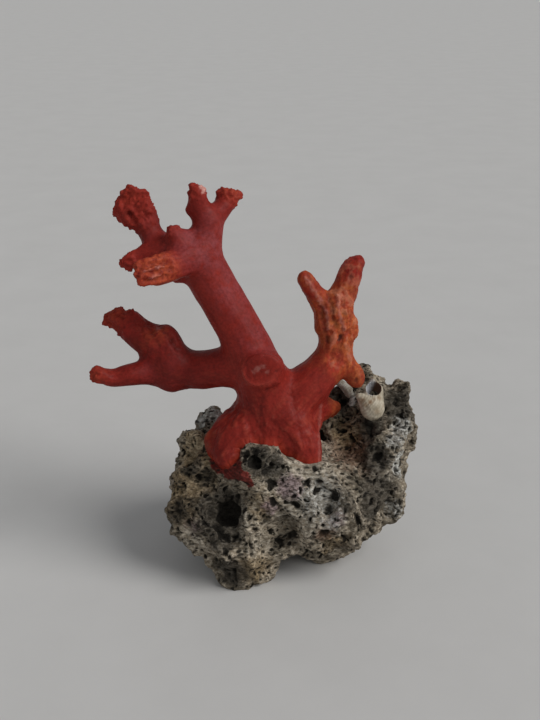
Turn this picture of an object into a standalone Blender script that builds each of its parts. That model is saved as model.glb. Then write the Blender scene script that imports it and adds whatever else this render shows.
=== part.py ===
"""A branch of red coral on the piece of porous stone that it grew on.

Metres and +Z up, with sizes written in millimetres and turned into metres by MM. The side that
is seen in the picture faces -Y. The whole stands on z = 0, with the origin at the middle of its
bounding box, seen from above.

The coral and the stone are each grown from overlapping balls, fused into one skin, given their
relief and thinned to plain facets. The coral is then sawn apart at its main forks.
"""

import math
import random

import bmesh
import bpy
from mathutils import Matrix, Vector, noise

MM = 0.001

# How closely the pieces fit, and how finely they are made
GAP = 0.3  # between a piece and its neighbour
SKIN_STEP = 0.5  # grid that the balls of the coral are fused on
STONE_STEP = 0.9
SHELL_STEP = 0.3
CORAL_FACES = 3500  # triangles left after thinning
STONE_FACES = 4200
SHELL_FACES = 300
MOUTH_FACES = 120
TUBE_FACES = 160
NOISE_SEED = 7
BALLS_PER_RADIUS = 2.2  # so that a string of balls reads as a smooth run
SAME_PLACE = 0.03  # corners closer than this are one corner
ON_PLANE = 1e-7  # metres within which a corner counts as lying on a cutting plane
RIM_CORNERS = 8  # fewer than this in a plane isn't a sawn end
RIM_REACH = 8.0  # no corner of a sawn end is farther than this from its cut's point
RIM_FLATNESS = 0.01
SEAT = 0.39  # how far what grows on the stone stays clear of it
SHARP_ANGLE = math.radians(50)

# The relief of the coral's skin
SWELL = 0.2  # makes up for what the smoothing takes off the branches
LUMP_SIZE, LUMP_HEIGHT, KNOT_HEIGHT = 3.4, 0.22, 0.3
LUMP_SHAPE = (0.9, 2.0, 2)  # roughness, step from layer to layer, layers
KNOTTED_FROM, KNOTTED_FULLY = 8.0, 12.0  # how far to the right the knots start and are full
FLUTE_WIDTH, FLUTE_LENGTH, FLUTE_HEIGHT = 1.9, 11.0, 0.5
FLUTED_BELOW, FLUTED_FULLY = 46.0, 38.0  # how low the flutes start and are full

# The relief of the stone
WARP_SIZE, WARP_REACH = 9.0, 3.0  # bends the crags out of their regular pattern
CRAG_SIZE, CRAG_HEIGHT, CRAG_SINK = 10.0, 2.0, 2.6
CRAG_SHAPE = (1.0, 2.1, 3, 1.0, 1.6)  # roughness, step from layer to layer, layers, offset, gain
KNOLL_SIZE, KNOLL_HEIGHT = 4.6, 1.7
KNOLL_SHAPE = (1.0, 2.0, 2)
HOLLOW_SPREAD = 1.5  # a hollow fades out at this many times its radius

# Each run of coral is a list of (x, y, z, radius), from its root outwards
TRUNK_RUNS = [
    [(-1.0, 3.0, 24.0, 11.0), (-1.0, 2.5, 30.0, 10.2), (0.0, 1.5, 36.0, 8.0),
     (-0.4, 1.0, 41.0, 6.8), (-2.2, 0.0, 46.6, 5.7)],
    [(5.0, 2.0, 33.0, 6.4), (4.5, 1.0, 39.4, 5.3), (9.4, 2.0, 43.6, 4.8)],
]
# The foot spreads over the stone as a skirt with a few lobes
FOOT_RUNS = [
    [(-2.5, 0.5, 37.0, 4.8), (-6.8, 0.0, 35.6, 3.6), (-9.9, -2.0, 33.8, 2.9), (-13.4, -3.0, 32.0, 1.5)],
    [(-5.0, -2.0, 35.0, 4.4), (-8.4, -5.0, 32.6, 3.2), (-9.7, -7.0, 30.0, 2.4), (-8.8, -9.0, 27.8, 1.8),
     (-6.0, -11.4, 25.8, 1.1)],
    [(-9.5, -2.5, 33.0, 2.8), (-12.4, -4.0, 30.4, 2.2), (-12.2, -5.6, 28.4, 1.4)],
    [(3.0, -1.0, 36.0, 5.8), (6.8, -3.0, 31.8, 4.4), (8.8, -5.0, 28.0, 2.8)],
    [(8.0, 3.0, 37.4, 4.4), (12.4, 6.0, 35.8, 2.6), (15.4, 8.0, 34.6, 1.5)],
]
MAIN_RUNS = [
    [(-2.2, 0.0, 46.6, 5.6), (-5.8, 1.0, 54.8, 5.0), (-9.9, 2.0, 62.5, 4.8),
     (-13.6, 2.0, 69.5, 4.7), (-15.3, 2.0, 74.0, 4.7)],
    [(-14.9, 2.0, 74.0, 4.2), (-13.5, 3.0, 77.4, 3.4), (-13.1, 3.0, 80.2, 3.0)],
    [(-13.5, 3.0, 80.2, 2.4), (-14.7, 3.0, 83.2, 2.2), (-15.1, 2.5, 85.4, 1.8),
     (-15.5, 2.0, 87.0, 1.5)],
    [(-12.4, 4.0, 80.0, 2.4), (-10.2, 6.0, 82.5, 2.0), (-8.8, 7.0, 84.4, 2.0)],
    [(-18.2, 0.2, 75.4, 2.6), (-20.0, -1.0, 78.8, 1.7)],
    [(-18.5, 2.0, 69.8, 2.0), (-20.6, 3.0, 67.6, 1.1)],
]
CROWN_RUNS = [
    [(-16.6, 2.0, 74.4, 3.4), (-23.5, 3.0, 75.0, 2.8), (-25.6, 4.0, 77.8, 2.4),
     (-27.0, 5.0, 80.4, 2.9), (-28.3, 5.5, 82.4, 3.3)],
    [(-22.0, 1.0, 74.6, 2.8), (-25.3, 0.0, 74.1, 2.3), (-28.2, -1.0, 73.4, 1.8),
     (-30.8, -2.0, 73.0, 1.2)],
    [(-15.6, 0.0, 73.2, 3.4), (-19.7, -4.0, 73.4, 2.7), (-22.8, -7.6, 73.2, 2.2)],
]
LEFT_RUNS = [
    [(-4.4, 1.0, 48.1, 5.0), (-10.2, 2.0, 47.6, 4.4), (-14.3, 3.0, 46.5, 4.2),
     (-18.5, 4.0, 46.2, 4.3), (-22.3, 4.0, 47.6, 4.6)],
    [(-22.8, 4.0, 50.0, 4.3), (-25.4, 5.0, 52.0, 4.0), (-28.6, 6.0, 53.6, 3.6),
     (-31.4, 7.0, 55.5, 3.0), (-34.0, 8.0, 56.6, 2.0)],
    [(-23.0, 4.0, 46.4, 3.9), (-26.9, 3.0, 45.9, 2.9), (-30.9, 1.0, 46.1, 2.4),
     (-34.4, 0.0, 45.7, 2.0), (-37.3, -1.0, 46.7, 1.7)],
]
RIGHT_RUNS = [
    [(4.5, 1.0, 39.4, 5.0), (9.4, 2.0, 43.8, 4.7), (13.4, 4.0, 48.2, 4.0),
     (14.8, 5.0, 52.1, 3.7), (14.8, 6.0, 56.0, 4.1), (14.3, 6.0, 59.3, 3.9)],
    [(12.3, 6.0, 60.0, 2.8), (9.8, 5.0, 64.0, 2.1), (7.7, 4.0, 67.0, 1.9)],
    [(15.8, 7.0, 60.8, 3.0), (17.0, 8.0, 64.9, 2.6), (18.3, 9.0, 68.2, 2.4),
     (19.2, 10.0, 69.8, 1.5)],
    [(15.8, 5.0, 48.4, 2.2), (18.0, 4.0, 46.9, 1.9), (19.2, 2.0, 44.8, 2.3)],
]

# Knobs on the coral: centre, radii
SMOOTH_KNOBS = [
    ((-1.6, -3.0, 49.4), (4.9, 3.4, 4.4)),
    ((-22.1, 3.0, 43.8), (3.0, 3.0, 2.7)),
    ((-25.0, 5.0, 54.4), (2.4, 2.4, 2.0)),
    ((-26.4, 4.4, 48.6), (2.5, 2.4, 2.4)),
    ((17.4, 5.2, 55.2), (2.3, 2.4, 3.0)),
    ((12.0, 4.0, 56.8), (2.1, 2.2, 3.0)),
    ((13.2, 2.4, 52.6), (1.6, 1.6, 2.2)),
]
SHARP_KNOBS = [
    ((-1.3, -6.2, 50.7), (4.6, 1.1, 3.7)),
    ((-0.9, -5.7, 47.0), (3.9, 1.3, 0.9)),
    ((-7.1, 8.0, 84.8), (1.5, 1.4, 1.3)),
    ((-10.2, 7.0, 85.6), (1.2, 1.3, 1.2)),
    ((-16.7, 3.0, 82.9), (1.5, 1.4, 1.5)),
    ((-20.4, -1.0, 79.4), (1.4, 1.3, 1.3)),
    ((-17.4, 0.4, 78.4), (1.3, 1.3, 1.2)),
    ((-30.8, 7.0, 58.2), (1.4, 1.3, 1.3)),
    ((-27.6, 5.0, 57.0), (1.2, 1.2, 0.9)),
    ((-15.9, 2.0, 88.1), (1.0, 0.9, 1.0)),
    ((-14.2, 2.4, 87.2), (0.8, 0.9, 0.8)),
]
# The front of the crown is a sheaf of fingers grown side by side
FAN_FINGERS = [
    [(-18.0, -3.4, 74.8, 1.5), (-22.8, -8.2, 75.2, 1.2), (-26.6, -10.4, 74.6, 0.9)],
    [(-18.0, -4.6, 73.4, 1.5), (-22.6, -9.6, 73.8, 1.4), (-26.4, -12.2, 73.2, 1.0)],
    [(-18.0, -4.0, 72.0, 1.5), (-22.0, -9.0, 72.2, 1.4), (-25.2, -11.6, 71.7, 1.1)],
    [(-18.0, -2.4, 71.2, 1.4), (-20.8, -7.0, 71.0, 1.2), (-23.4, -9.6, 70.7, 0.9)],
]

# A ragged end is a fan of small knobs: centre, reach, the two angles of its sweep seen from the
# front in degrees, the knobs in one row, their radius, and how far the two rows part
RAGGED_ENDS = [
    ((-28.5, 5.6, 82.6), 3.7, 35.0, 235.0, 10, 0.8, 2.4),
    ((-28.1, 5.2, 81.8), 2.4, 20.0, 260.0, 8, 1.3, 3.4),
    ((-33.4, 8.0, 56.8), 1.9, 80.0, 250.0, 7, 0.7, 1.6),
    ((-35.4, 8.0, 57.0), 0.9, 90.0, 270.0, 3, 0.6, 0.8),
    ((-29.6, -1.4, 72.6), 1.4, 150.0, 290.0, 4, 0.6, 1.2),
    ((-37.6, -1.0, 46.8), 1.2, 80.0, 260.0, 5, 0.7, 1.2),
]

# Where the coral is sawn: the piece that comes away, a point inside the branch, the way that
# piece leaves
SAW_CUTS = [
    ("main_branch", (-7.0, 1.3, 57.4), (-0.45, 0.12, 0.88)),
    ("left_branch", (-12.0, 2.4, 47.2), (-1.0, 0.2, -0.15)),
    ("right_branch", (10.9, 2.6, 45.9), (0.62, 0.25, 0.74)),
    ("crown_fork", (-13.3, 3.0, 80.2), (-0.05, 0.1, 0.99)),
    ("crown_paddle", (-24.8, 3.6, 77.0), (-0.5, 0.25, 0.83)),
    ("crown_twig", (-27.0, -0.6, 73.7), (-0.95, -0.3, -0.15)),
    ("crown_fan", (-19.4, -3.8, 73.3), (-0.68, -0.72, 0.0)),
    ("left_upper_tip", (-27.6, 5.6, 53.2), (-0.82, 0.27, 0.5)),
    ("left_lower_tip", (-30.4, 1.2, 46.1), (-0.95, -0.25, -0.1)),
    ("right_inner_tip", (10.9, 5.4, 62.4), (-0.8, -0.2, 0.56)),
    ("right_outer_tip", (16.4, 7.4, 62.6), (0.3, 0.2, 0.93)),
    ("side_bud", (17.3, 4.3, 47.4), (0.8, -0.35, -0.5)),
]

# The stone: the lumps that it is made of, as centre and radii
STONE_LUMPS = [
    ((4.0, 4.0, 17.0), (22.0, 17.0, 14.0)),
    ((-7.0, -10.0, 9.0), (7.0, 8.5, 11.5)),
    ((-6.8, -13.6, 3.6), (3.9, 4.6, 7.2)),
    ((-1.6, -10.0, 6.6), (6.6, 6.6, 6.6)),
    ((-10.4, -10.6, 7.4), (5.6, 6.4, 6.4)),
    ((-14.3, -4.6, 15.2), (10.1, 9.5, 8.6)),
    ((-14.6, -7.6, 9.0), (6.2, 6.0, 5.4)),
    ((-9.5, -7.4, 22.4), (5.5, 5.5, 6.2)),
    ((-14.4, 2.0, 18.5), (9.4, 12.0, 12.5)),
    ((-15.5, 3.0, 26.0), (6.6, 7.0, 7.0)),
    ((-13.5, 7.5, 28.0), (5.0, 6.5, 8.0)),
    ((-9.0, -2.0, 23.5), (7.0, 7.0, 7.0)),
    ((-2.6, -8.5, 26.5), (6.6, 6.0, 7.8)),
    ((4.0, -8.5, 24.5), (7.0, 6.5, 7.0)),
    ((12.0, -6.0, 16.0), (13.0, 10.0, 12.0)),
    ((14.0, 10.0, 27.0), (8.0, 7.0, 7.4)),
    ((26.0, 10.0, 27.5), (8.4, 10.0, 12.5)),
    ((25.8, 3.0, 23.5), (7.4, 9.0, 11.5)),
    ((29.5, 7.0, 31.0), (5.7, 7.0, 7.5)),
    ((29.2, 10.5, 34.8), (5.9, 6.0, 6.0)),
    ((23.5, 14.0, 34.0), (7.0, 6.0, 6.5)),
    ((15.5, 13.6, 32.0), (4.8, 4.2, 5.2)),
    ((21.8, 16.0, 39.8), (1.9, 1.8, 3.4)),
    ((24.6, 3.0, 15.6), (7.6, 10.0, 9.0)),
    ((13.2, -1.5, 6.8), (7.0, 8.0, 8.0)),
    ((0.0, 16.0, 17.0), (17.0, 9.0, 15.0)),
    ((-10.0, 13.0, 7.0), (8.0, 8.0, 9.0)),
    ((12.0, 15.0, 7.0), (8.0, 8.0, 9.0)),
]
# Hollows pressed into it: centre at the surface, radius, depth
STONE_HOLLOWS = [
    ((-9.5, -16.0, 20.0), 3.8, 8.0),
    ((-8.0, -17.5, 16.0), 3.0, 4.0),
    ((-13.0, -9.0, 24.0), 3.0, 2.6),
    ((20.8, -1.0, 33.8), 2.4, 3.0),
    ((25.0, -3.0, 26.3), 2.6, 3.0),
    ((16.6, 3.0, 33.6), 2.8, 3.6),
    ((-4.0, -13.6, 30.6), 2.0, 1.8),
    ((0.0, -15.0, 27.4), 1.8, 1.8),
    ((-18.0, -8.0, 18.0), 3.0, 2.4),
    ((4.0, -15.0, 14.0), 3.2, 2.4),
    ((12.0, -14.0, 20.0), 2.4, 1.8),
    ((-22.0, 4.0, 24.0), 3.4, 2.4),
    ((33.0, 2.0, 24.0), 3.0, 2.2),
    ((6.0, 25.0, 20.0), 4.4, 3.6),
    ((-10.0, 22.0, 18.0), 3.6, 3.0),
    ((20.0, 21.0, 22.0), 4.0, 3.4),
]
PIT_PITCH = 5.6  # between the middles of the smaller pits all over it
PIT_WIDTHS = (0.20, 0.68)  # the least and most half width of a pit, as a share of the pitch
PIT_CHANCE = 9.7  # how quickly the width changes from pit to pit
PIT_DEPTH = 2.4

# The snail shell lies with its mouth up: its body and neck, its small spire at one side, and the
# peak of its back lip
SHELL_RUNS = [
    [(23.3, 3.0, 36.9, 2.85), (23.4, 4.2, 37.8, 2.75), (23.6, 5.2, 39.0, 2.45), (23.7, 5.2, 40.2, 2.25)],
    [(22.4, 3.2, 38.0, 2.2), (21.0, 3.4, 39.2, 1.2), (20.2, 3.6, 39.7, 0.8)],
    [(23.6, 6.2, 40.8, 1.5), (23.7, 6.9, 42.6, 0.7)],
]
SHELL_MOUTH_RUN = [(23.6, 4.0, 41.9, 1.95), (23.6, 5.0, 40.2, 1.7), (23.5, 5.2, 38.6, 1.4)]
WORM_TUBE = [(15.4, 14.0, 39.4, 0.9), (17.7, 12.0, 38.2, 1.1), (19.4, 10.0, 36.8, 1.4)]

# Colours, as seen in the picture, each with how rough its surface is
CORAL_RED = ((0.36, 0.035, 0.025), 0.4)
CORAL_ORANGE = ((0.48, 0.10, 0.04), 0.5)
STONE_GREY = ((0.20, 0.18, 0.14), 0.95)
SHELL_CREAM = ((0.55, 0.50, 0.40), 0.6)


def clear_scene():
    for obj in list(bpy.data.objects):
        bpy.data.objects.remove(obj)


def finish_of(name, colour, roughness):
    material = bpy.data.materials.new(name)
    material.use_nodes = True
    shader = material.node_tree.nodes["Principled BSDF"]
    shader.inputs["Base Color"].default_value = (*colour, 1.0)
    shader.inputs["Roughness"].default_value = roughness
    shader.inputs["Metallic"].default_value = 0.0
    return material


def add_ball(bm, centre, radii, subdivisions=2):
    """One ball, or an egg where its radii differ, in millimetres."""
    place = Matrix.Translation(Vector(centre) * MM)
    stretch = Matrix.Diagonal((*(radius * MM for radius in radii), 1.0))
    bmesh.ops.create_icosphere(bm, subdivisions=subdivisions, radius=1.0, matrix=place @ stretch)


def curve_through(points, t):
    """The point at t, counted in points, on a smooth curve through all of them."""
    i = min(int(t), len(points) - 2)
    u = t - i
    before = points[max(i - 1, 0)]
    after = points[min(i + 2, len(points) - 1)]
    blended = []
    for p, q, r, s in zip(before, points[i], points[i + 1], after):
        curve = 2 * q + (r - p) * u + (2 * p - 5 * q + 4 * r - s) * u * u + (3 * q - p - 3 * r + s) * u**3
        blended.append(curve / 2)
    return blended


def add_run(bm, points):
    """A string of balls, close enough to read as one smooth tapering branch."""
    for i, (start, end) in enumerate(zip(points, points[1:])):
        length = math.dist(start[:3], end[:3])
        steps = max(2, round(length * BALLS_PER_RADIUS / min(start[3], end[3])))
        for step in range(steps + 1):
            x, y, z, radius = curve_through(points, i + step / steps)
            add_ball(bm, (x, y, z), (radius, radius, radius))


def add_ragged_end(bm, centre, reach, first, last, count, radius, parting):
    """Small knobs round the rim of a branch's end, in a front and a back row."""
    chance = random.Random(round(reach * 10 + first))
    for row in (-1, 1):
        for i in range(count):
            angle = math.radians(first + (last - first) * (i + 0.5 * (row > 0)) / count)
            out = reach * chance.uniform(0.85, 1.2)
            size = radius * chance.uniform(0.75, 1.2)
            knob = (
                centre[0] + out * math.cos(angle),
                centre[1] + row * parting / 2,
                centre[2] + out * math.sin(angle),
            )
            add_ball(bm, knob, (size, size, size))


def modified(mesh, build):
    """The mesh as the modifiers that build adds leave it."""
    obj = bpy.data.objects.new("work", mesh)
    bpy.context.scene.collection.objects.link(obj)
    build(obj.modifiers)
    graph = bpy.context.evaluated_depsgraph_get()
    result = bpy.data.meshes.new_from_object(obj.evaluated_get(graph), depsgraph=graph)
    bpy.data.objects.remove(obj)
    return result


def mesh_of(bm):
    mesh = bpy.data.meshes.new("work")
    bm.to_mesh(mesh)
    bm.free()
    return mesh


def fused(mesh, step, rounds):
    """One skin round all the balls, its creases eased by rounds of smoothing."""
    def build(modifiers):
        remesh = modifiers.new("fuse", "REMESH")
        remesh.mode = "VOXEL"
        remesh.voxel_size = step * MM
        if rounds:
            ease = modifiers.new("ease", "SMOOTH")
            ease.factor = 0.5
            ease.iterations = rounds
    return modified(mesh, build)


def thinned(mesh, faces):
    """The mesh with about that many triangles left."""
    mesh.calc_loop_triangles()
    ratio = faces / len(mesh.loop_triangles)

    def build(modifiers):
        decimate = modifiers.new("thin", "DECIMATE")
        decimate.ratio = ratio
        decimate.use_collapse_triangulate = True
    return modified(mesh, build)


def displaced(mesh, height):
    """Each point moved along its normal by height(point), all in millimetres."""
    bm = bmesh.new()
    bm.from_mesh(mesh)
    bm.normal_update()
    moves = [height(v.co / MM) for v in bm.verts]
    for v, move in zip(bm.verts, moves):
        v.co += v.normal * move * MM
    return mesh_of(bm)


def object_of(name, mesh, material):
    obj = bpy.data.objects.new(name, mesh)
    bpy.context.scene.collection.objects.link(obj)
    mesh.name = name
    mesh.materials.clear()
    mesh.materials.append(material)
    mesh.shade_smooth()
    mesh.set_sharp_from_angle(angle=SHARP_ANGLE)
    return obj


def share_between(value, none, full):
    """How far a value is on its way from none to full, from 0 to 1."""
    return min(1.0, max(0.0, (value - none) / (full - none)))


def coral_height(point):
    """Lumps all over, stronger on the right-hand branch, and flutes down the trunk to its foot."""
    knotted = share_between(point.x, KNOTTED_FROM, KNOTTED_FULLY)
    lumps = noise.fractal(point / LUMP_SIZE, *LUMP_SHAPE) * (LUMP_HEIGHT + KNOT_HEIGHT * knotted)
    drawn = Vector((point.x / FLUTE_WIDTH, point.y / FLUTE_WIDTH, point.z / FLUTE_LENGTH))
    flutes = noise.noise(drawn) * FLUTE_HEIGHT * share_between(point.z, FLUTED_BELOW, FLUTED_FULLY)
    return SWELL + lumps + flutes


def coral_form():
    """The whole coral in one skin: smooth runs first, then what stays knobbly."""
    bm = bmesh.new()
    for runs in (TRUNK_RUNS, FOOT_RUNS, MAIN_RUNS, CROWN_RUNS, LEFT_RUNS, RIGHT_RUNS):
        for run in runs:
            add_run(bm, run)
    for centre, radii in SMOOTH_KNOBS:
        add_ball(bm, centre, radii)
    skin = displaced(fused(mesh_of(bm), SKIN_STEP, rounds=6), coral_height)
    bm = bmesh.new()
    bm.from_mesh(skin)
    for centre, radii in SHARP_KNOBS:
        add_ball(bm, centre, radii)
    for finger in FAN_FINGERS:
        add_run(bm, finger)
    for end in RAGGED_ENDS:
        add_ragged_end(bm, *end)
    return thinned(fused(mesh_of(bm), SKIN_STEP, rounds=1), CORAL_FACES)


def pit_depth(point):
    """Round pits, each of its own size, one near the middle of each cell."""
    distances, middles = noise.voronoi(point / PIT_PITCH)
    chance = abs(noise.noise(middles[0] * PIT_CHANCE))
    width = PIT_WIDTHS[0] + (PIT_WIDTHS[1] - PIT_WIDTHS[0]) * chance
    share = distances[0] / width
    return PIT_DEPTH * (1.0 - share * share) if share < 1.0 else 0.0


def stone_height(point):
    """Crags and ledges, pits, and the hollows pressed in."""
    bent = point + noise.noise_vector(point / WARP_SIZE) * WARP_REACH
    crags = noise.ridged_multi_fractal(bent / CRAG_SIZE, *CRAG_SHAPE) * CRAG_HEIGHT - CRAG_SINK
    knolls = noise.fractal(point / KNOLL_SIZE, *KNOLL_SHAPE) * KNOLL_HEIGHT
    pressed = 0.0
    for centre, radius, depth in STONE_HOLLOWS:
        near = (point - Vector(centre)).length / (radius * HOLLOW_SPREAD)
        if near < 1.0:
            pressed += depth * (1.0 - near * near) ** 2
    return crags + knolls - pressed - pit_depth(point)


def stone_form():
    """The stone in one skin, cut off flat at z = 0 where it stands."""
    bm = bmesh.new()
    for centre, radii in STONE_LUMPS:
        add_ball(bm, centre, radii, subdivisions=4)
    skin = fused(mesh_of(bm), STONE_STEP, rounds=4)
    rough = fused(displaced(skin, stone_height), STONE_STEP, rounds=0)
    bm = bmesh.new()
    bm.from_mesh(thinned(rough, STONE_FACES))
    cut = bmesh.ops.bisect_plane(
        bm, geom=[*bm.verts, *bm.edges, *bm.faces], dist=ON_PLANE, plane_co=(0, 0, 0), plane_no=(0, 0, 1),
        clear_inner=True,
    )
    rim = [item for item in cut["geom_cut"] if isinstance(item, bmesh.types.BMEdge)]
    bmesh.ops.holes_fill(bm, edges=rim)
    return mesh_of(bm)


def cut_away(mesh, cutter_mesh):
    """The mesh with everything inside the cutter taken out."""
    cutter = bpy.data.objects.new("cutter", cutter_mesh)
    bpy.context.scene.collection.objects.link(cutter)

    def build(modifiers):
        cut = modifiers.new("cut", "BOOLEAN")
        cut.operation = "DIFFERENCE"
        cut.solver = "EXACT"
        cut.use_self = True
        cut.object = cutter
    result = modified(mesh, build)
    bpy.data.objects.remove(cutter)
    bm = bmesh.new()
    bm.from_mesh(result)
    largest = max(connected_parts(bm), key=lambda part: sum(f.calc_area() for f in part))
    rest = closed_copy(bm, largest)
    bm.free()
    return rest


def seated(mesh, stone):
    """The mesh with what would be inside the stone, or closer to it than the seat, cut away."""
    return cut_away(mesh, displaced(stone, lambda point: SEAT))


def shell_form():
    """The snail shell, its mouth hollowed out."""
    bm = bmesh.new()
    for run in SHELL_RUNS:
        add_run(bm, run)
    body = thinned(fused(mesh_of(bm), SHELL_STEP, rounds=2), SHELL_FACES)
    bm = bmesh.new()
    add_run(bm, SHELL_MOUTH_RUN)
    hollow = thinned(fused(mesh_of(bm), SHELL_STEP, rounds=1), MOUTH_FACES)
    return cut_away(body, hollow)


def tube_form():
    bm = bmesh.new()
    add_run(bm, WORM_TUBE)
    return thinned(fused(mesh_of(bm), SHELL_STEP, rounds=1), TUBE_FACES)


def ring_crossed(bm, point, way):
    """The faces that a plane crosses, all the way round the branch nearest to the point."""
    crossed = set()
    for face in bm.faces:
        heights = [(v.co - point).dot(way) for v in face.verts]
        if min(heights) <= 0.0 <= max(heights):
            crossed.add(face)
    edge = {min(crossed, key=lambda face: (face.calc_center_median() - point).length)}
    ring = set()
    while edge:
        ring |= edge
        edge = {f for face in edge for e in face.edges for f in e.link_faces} & crossed - ring
    return ring


def saw_through(bm, point, direction):
    """Parts one branch with two cuts a gap apart, and leaves both ends open."""
    way = Vector(direction).normalized()
    for side in (-0.5, 0.5):
        middle = (Vector(point) + way * side * GAP) * MM
        ring = ring_crossed(bm, middle, way)
        edges = {e for f in ring for e in f.edges}
        verts = {v for f in ring for v in f.verts}
        cut = bmesh.ops.bisect_plane(
            bm, geom=[*verts, *edges, *ring], dist=ON_PLANE, plane_co=middle, plane_no=way,
        )
        rim = [item for item in cut["geom_cut"] if isinstance(item, bmesh.types.BMEdge)]
        bmesh.ops.split_edges(bm, edges=rim)


def connected_parts(bm):
    """The sets of faces that hang together."""
    left = set(bm.faces)
    while left:
        part, edge = set(), {left.pop()}
        while edge:
            part |= edge
            edge = {f for face in edge for e in face.edges for f in e.link_faces} - part
            left -= edge
        yield part


def rests_on(rims, start, way):
    """Whether a whole rim, and not a chance corner, lies in the plane of a cut."""
    away = [r / MM - start for r in rims]
    on_rim = [a for a in away if abs(a.dot(way)) < RIM_FLATNESS and a.length < RIM_REACH]
    return len(on_rim) >= RIM_CORNERS


def sawn_pieces(form):
    """The coral's pieces as name to mesh. A piece is known by the cut at its root."""
    bm = bmesh.new()
    bm.from_mesh(form)
    for _, point, direction in SAW_CUTS:
        saw_through(bm, point, direction)
    pieces = {}
    for part in connected_parts(bm):
        corners = {v for f in part for v in f.verts}
        rims = [v.co for v in corners if v.is_boundary]
        name = "trunk"
        for cut_name, point, direction in SAW_CUTS:
            way = Vector(direction).normalized()
            start = Vector(point) + way * GAP / 2
            if rests_on(rims, start, way):
                name = cut_name
        pieces.setdefault(name, []).append(part)
    meshes = {name: closed_copy(bm, max(parts, key=len)) for name, parts in pieces.items()}
    bm.free()
    return meshes


def closed_copy(bm, part):
    """A mesh of those faces alone, its sawn ends filled flat."""
    bm.faces.index_update()
    kept = {face.index for face in part}
    copy = bm.copy()
    copy.faces.index_update()
    bmesh.ops.delete(copy, geom=[f for f in copy.faces if f.index not in kept], context="FACES")
    bmesh.ops.remove_doubles(copy, verts=copy.verts, dist=SAME_PLACE * MM)
    bmesh.ops.dissolve_degenerate(copy, edges=copy.edges, dist=SAME_PLACE * MM)
    bmesh.ops.holes_fill(copy, edges=[e for e in copy.edges if e.is_boundary])
    bmesh.ops.triangulate(copy, faces=copy.faces)
    bmesh.ops.recalc_face_normals(copy, faces=copy.faces)
    return mesh_of(copy)


def centre_over_origin(objects):
    """Moves everything so that the middle of the bounding box, seen from above, is the origin."""
    corners = [v.co for obj in objects for v in obj.data.vertices]
    middle_x = (min(c.x for c in corners) + max(c.x for c in corners)) / 2
    middle_y = (min(c.y for c in corners) + max(c.y for c in corners)) / 2
    for obj in objects:
        obj.data.transform(Matrix.Translation((-middle_x, -middle_y, 0.0)))
    print(f"moved by {-middle_x / MM:.2f}, {-middle_y / MM:.2f} mm")


def main():
    clear_scene()
    noise.seed_set(NOISE_SEED)
    red = finish_of("coral_red", *CORAL_RED)
    orange = finish_of("coral_orange", *CORAL_ORANGE)
    grey = finish_of("stone_grey", *STONE_GREY)
    cream = finish_of("shell_cream", *SHELL_CREAM)

    stone = stone_form()
    pieces = sawn_pieces(coral_form())
    pieces["trunk"] = seated(pieces["trunk"], stone)
    objects = [
        object_of(name, mesh, orange if name.startswith(("right", "side")) else red)
        for name, mesh in pieces.items()
    ]
    objects.append(object_of("snail_shell", seated(shell_form(), stone), cream))
    objects.append(object_of("worm_tube", seated(tube_form(), stone), cream))
    objects.append(object_of("stone", stone, grey))
    centre_over_origin(objects)


main()
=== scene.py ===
# %% [markdown]
# # A branch of red coral on its stone
#
# Red coral is the hard skeleton of a colony of small sea animals. It grows like a leafless tree on
# rock, and this branch still stands on the lump of porous stone that it grew on. A small snail shell
# and the tube of a worm sit on the stone beside its foot.
#
# The plain solids of the model come first, as a fixed frame. Their shapes are right, but they are
# faceted and their skins are bare. This lesson grows the fine relief on them and gives them their
# colours.

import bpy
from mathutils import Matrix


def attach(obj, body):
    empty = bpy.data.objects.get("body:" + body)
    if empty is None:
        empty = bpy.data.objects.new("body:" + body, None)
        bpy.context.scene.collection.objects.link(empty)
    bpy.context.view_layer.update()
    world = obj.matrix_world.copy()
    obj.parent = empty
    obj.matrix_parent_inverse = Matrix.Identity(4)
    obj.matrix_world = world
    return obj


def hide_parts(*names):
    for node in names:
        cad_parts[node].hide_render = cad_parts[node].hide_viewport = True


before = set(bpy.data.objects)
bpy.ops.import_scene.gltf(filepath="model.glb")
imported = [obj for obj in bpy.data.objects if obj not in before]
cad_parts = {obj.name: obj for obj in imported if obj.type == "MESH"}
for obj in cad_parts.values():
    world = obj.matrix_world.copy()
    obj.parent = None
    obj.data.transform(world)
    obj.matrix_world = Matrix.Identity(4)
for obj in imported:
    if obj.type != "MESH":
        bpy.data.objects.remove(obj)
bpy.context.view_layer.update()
print("solids:", sorted(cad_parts))

# %% What the lesson needs
import math

import bmesh
import bpy
import numpy as np
from mathutils import Euler, Vector, noise
from mathutils.bvhtree import BVHTree

MM = 0.001  # the sizes below are in millimetres
noise.seed_set(11)  # the same relief on every run

# %% [markdown]
# ## The camera
#
# The picture was taken from a little above, looking down by 22 degrees. The camera comes first,
# because it also finds places on the coral: a hole or a stain is named by where the picture shows it,
# and a ray through that place of the picture meets the surface where it belongs.

# %% The camera
PICTURE_WIDTH, PICTURE_HEIGHT = 540, 720
LENS, SENSOR = 50, 36
EYE = Vector((2.6, -207.46, 132.4)) * MM
FALL = 22  # degrees
GAZE = Euler((math.radians(90 - FALL), 0, 0))


def placed(name, data):
    """A new object in the scene."""
    one = bpy.data.objects.new(name, data)
    bpy.context.scene.collection.objects.link(one)
    return one


camera_data = bpy.data.cameras.new("camera")
camera_data.lens = LENS
camera_data.sensor_width = SENSOR
camera_data.clip_start = 1.0 * MM
camera = placed("camera", camera_data)
camera.location = EYE
camera.rotation_euler = GAZE
bpy.context.scene.camera = camera


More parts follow.
